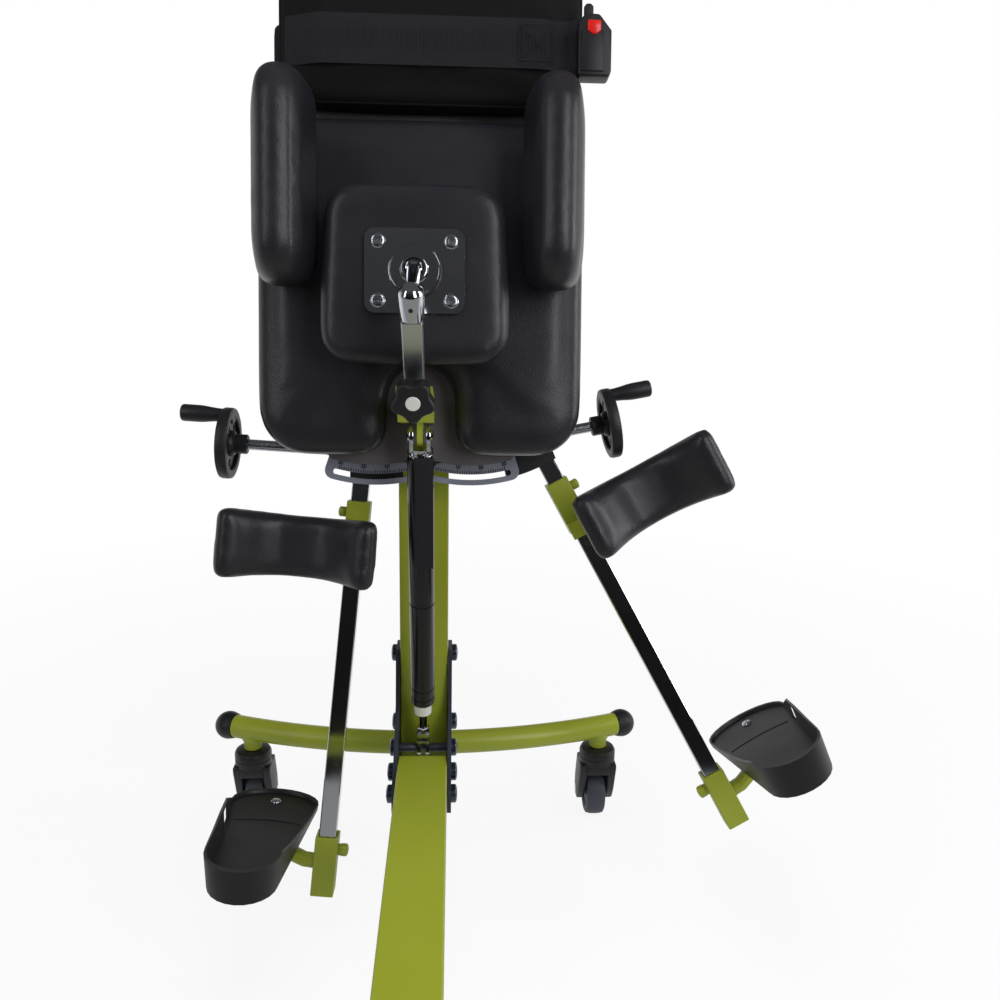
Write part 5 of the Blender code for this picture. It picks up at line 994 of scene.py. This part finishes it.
# Floor, light and camera
def make_floor():
    """Lay a white floor that keeps a soft shadow."""
    bpy.ops.object.select_all(action="DESELECT")
    size = 30.0
    near_edge = SHIFT.y - 1.15
    bpy.ops.mesh.primitive_plane_add(size=size, location=(0.0, near_edge + size / 2, 0.0))
    floor = named("studio_floor")
    bpy.ops.object.transform_apply(location=True)
    material = bpy.data.materials.new("white_floor")
    material.use_nodes = True
    nodes_of = material.node_tree.nodes
    nodes_of.remove(nodes_of["Principled BSDF"])
    spot = add(material, "ShaderNodeTexCoord").outputs["Object"]
    apart = add(material, "ShaderNodeVectorMath", {0: spot, 1: SHIFT}, operation="DISTANCE")
    share = add(material, "ShaderNodeMapRange", {"Value": apart.outputs["Value"],
                                                 "From Min": 0.6, "From Max": 1.8,
                                                 "To Min": 0.90, "To Max": 1.0})
    path = add(material, "ShaderNodeLightPath")
    seen = add(material, "ShaderNodeMath", {0: path.outputs["Is Camera Ray"], 1: share.outputs[0]},
               operation="MULTIPLY")
    plain = add(material, "ShaderNodeBsdfDiffuse", {"Color": linear("#f2f2f2")})
    glow = add(material, "ShaderNodeEmission", {"Color": linear("#ffffff"), "Strength": 1.0})
    lit = add(material, "ShaderNodeMixShader", {0: seen.outputs[0], 1: plain.outputs[0],
                                                2: glow.outputs[0]})
    split = add(material, "ShaderNodeSeparateXYZ", {"Vector": spot})
    far = add(material, "ShaderNodeMapRange", {"Value": split.outputs["Y"], "From Min": SHIFT.y - 0.3,
                                               "From Max": SHIFT.y + 0.3, "To Min": 0.30, "To Max": 0.90})
    mirror = add(material, "ShaderNodeMath", {0: path.outputs["Is Glossy Ray"],
                                              1: path.outputs["Is Transmission Ray"]}, operation="MAXIMUM")
    image = add(material, "ShaderNodeEmission", {"Color": linear("#ffffff"), "Strength": far.outputs[0]})
    mixed = add(material, "ShaderNodeMixShader", {0: mirror.outputs[0], 1: lit.outputs[0],
                                                  2: image.outputs[0]})
    material.node_tree.links.new(mixed.outputs[0], nodes_of["Material Output"].inputs["Surface"])
    floor.data.materials.append(material)


def make_world():
    """Light evenly all round, white to the eye; gloss sees a white wall behind the object in a dim room."""
    world = bpy.data.worlds.new("studio")
    bpy.context.scene.world = world
    world.use_nodes = True
    tree = world.node_tree
    way = add(world, "ShaderNodeTexCoord").outputs["Generated"]
    split = add(world, "ShaderNodeSeparateXYZ", {"Vector": way})
    rear = add(world, "ShaderNodeMapRange", {"Value": split.outputs["Y"],
                                             "From Min": -0.40, "From Max": 0.10,
                                             "To Min": 0.0, "To Max": 0.90})
    band = add(world, "ShaderNodeMapRange", {"Value": split.outputs["Z"],
                                             "From Min": 0.20, "From Max": 0.45,
                                             "To Min": 1.0, "To Max": 0.10})
    wall = add(world, "ShaderNodeMath", {0: rear.outputs[0], 1: band.outputs[0]}, operation="MULTIPLY")
    dusk = add(world, "ShaderNodeMapRange", {"Value": split.outputs["Z"], "From Min": 0.0, "From Max": 0.5,
                                             "To Min": 0.010, "To Max": 0.065})
    room = add(world, "ShaderNodeMath", {0: wall.outputs[0], 1: dusk.outputs[0]}, operation="MAXIMUM")
    path = add(world, "ShaderNodeLightPath")
    mirror = add(world, "ShaderNodeMath", {0: path.outputs["Is Glossy Ray"],
                                           1: path.outputs["Is Transmission Ray"]}, operation="MAXIMUM")
    even = 0.17
    soft = add(world, "ShaderNodeMixRGB", {"Fac": mirror.outputs[0], "Color1": (even, even, even, 1.0),
                                           "Color2": room.outputs[0]})
    level = add(world, "ShaderNodeMath", {0: soft.outputs[0], 1: path.outputs["Is Camera Ray"]},
                operation="MAXIMUM")
    back = tree.nodes["Background"]
    back.inputs["Color"].default_value = linear("#ffffff")
    tree.links.new(level.outputs[0], back.inputs["Strength"])


def make_lamp(name, spot, aim, width, height, power, mirrored):
    """Hang a soft box by the column, a little cool in its colour."""
    lamp = bpy.data.lights.new(name, "AREA")
    lamp.shape = "RECTANGLE"
    lamp.size = width
    lamp.size_y = height
    lamp.energy = power
    lamp.color = (0.95, 0.97, 1.0)
    box = bpy.data.objects.new(name, lamp)
    bpy.context.scene.collection.objects.link(box)
    box.location = SHIFT + Vector(spot)
    box.rotation_euler = (Vector(aim) - Vector(spot)).to_track_quat("-Z", "Y").to_euler()
    box.visible_glossy = mirrored


def make_camera():
    """Stand the camera where the photograph was taken."""
    pitch = math.radians(13.7645)
    yaw = math.radians(2.9587)
    roll = math.radians(1.0778)
    ahead = Vector((math.sin(yaw) * math.cos(pitch), math.cos(yaw) * math.cos(pitch), -math.sin(pitch)))
    right = Vector((math.cos(yaw), -math.sin(yaw), 0.0))
    up = right.cross(ahead)
    across = math.cos(roll) * right + math.sin(roll) * up
    upward = math.cos(roll) * up - math.sin(roll) * right
    eye = SHIFT + Vector((0.03614, -1.1151, 0.77704))
    data = bpy.data.cameras.new("viewer")
    data.lens = 33.20
    data.sensor_width = 36.0
    camera = bpy.data.objects.new("viewer", data)
    bpy.context.scene.collection.objects.link(camera)
    camera.matrix_world = Matrix.Translation(eye) @ Matrix((across, upward, -ahead)).transposed().to_4x4()
    bpy.context.scene.camera = camera


make_camera()
make_floor()
make_world()
make_lamp("top_box", (0.0, -0.4, 2.6), (0.0, -0.2, 0.3), 1.2, 1.2, 24.0, False)
make_lamp("left_box", (-1.40, -1.55, 1.5), (0.0, 0.0, 0.7), 0.4, 1.8, 8.0, True)
make_lamp("right_box", (1.20, -1.85, 1.5), (0.0, 0.0, 0.7), 0.7, 1.8, 19.0, True)
make_lamp("right_edge", (2.00, -0.35, 1.1), (0.0, 0.0, 0.7), 0.6, 1.3, 12.0, True)
bpy.context.scene.view_settings.view_transform = "Standard"

dress_packed()
chest = make_cushions()
dress_chest(chest)
make_fasteners()
make_scales()
make_knob()
make_swivel()
make_handwheels()
make_gas_spring()
make_piston()
make_base()
make_castors()
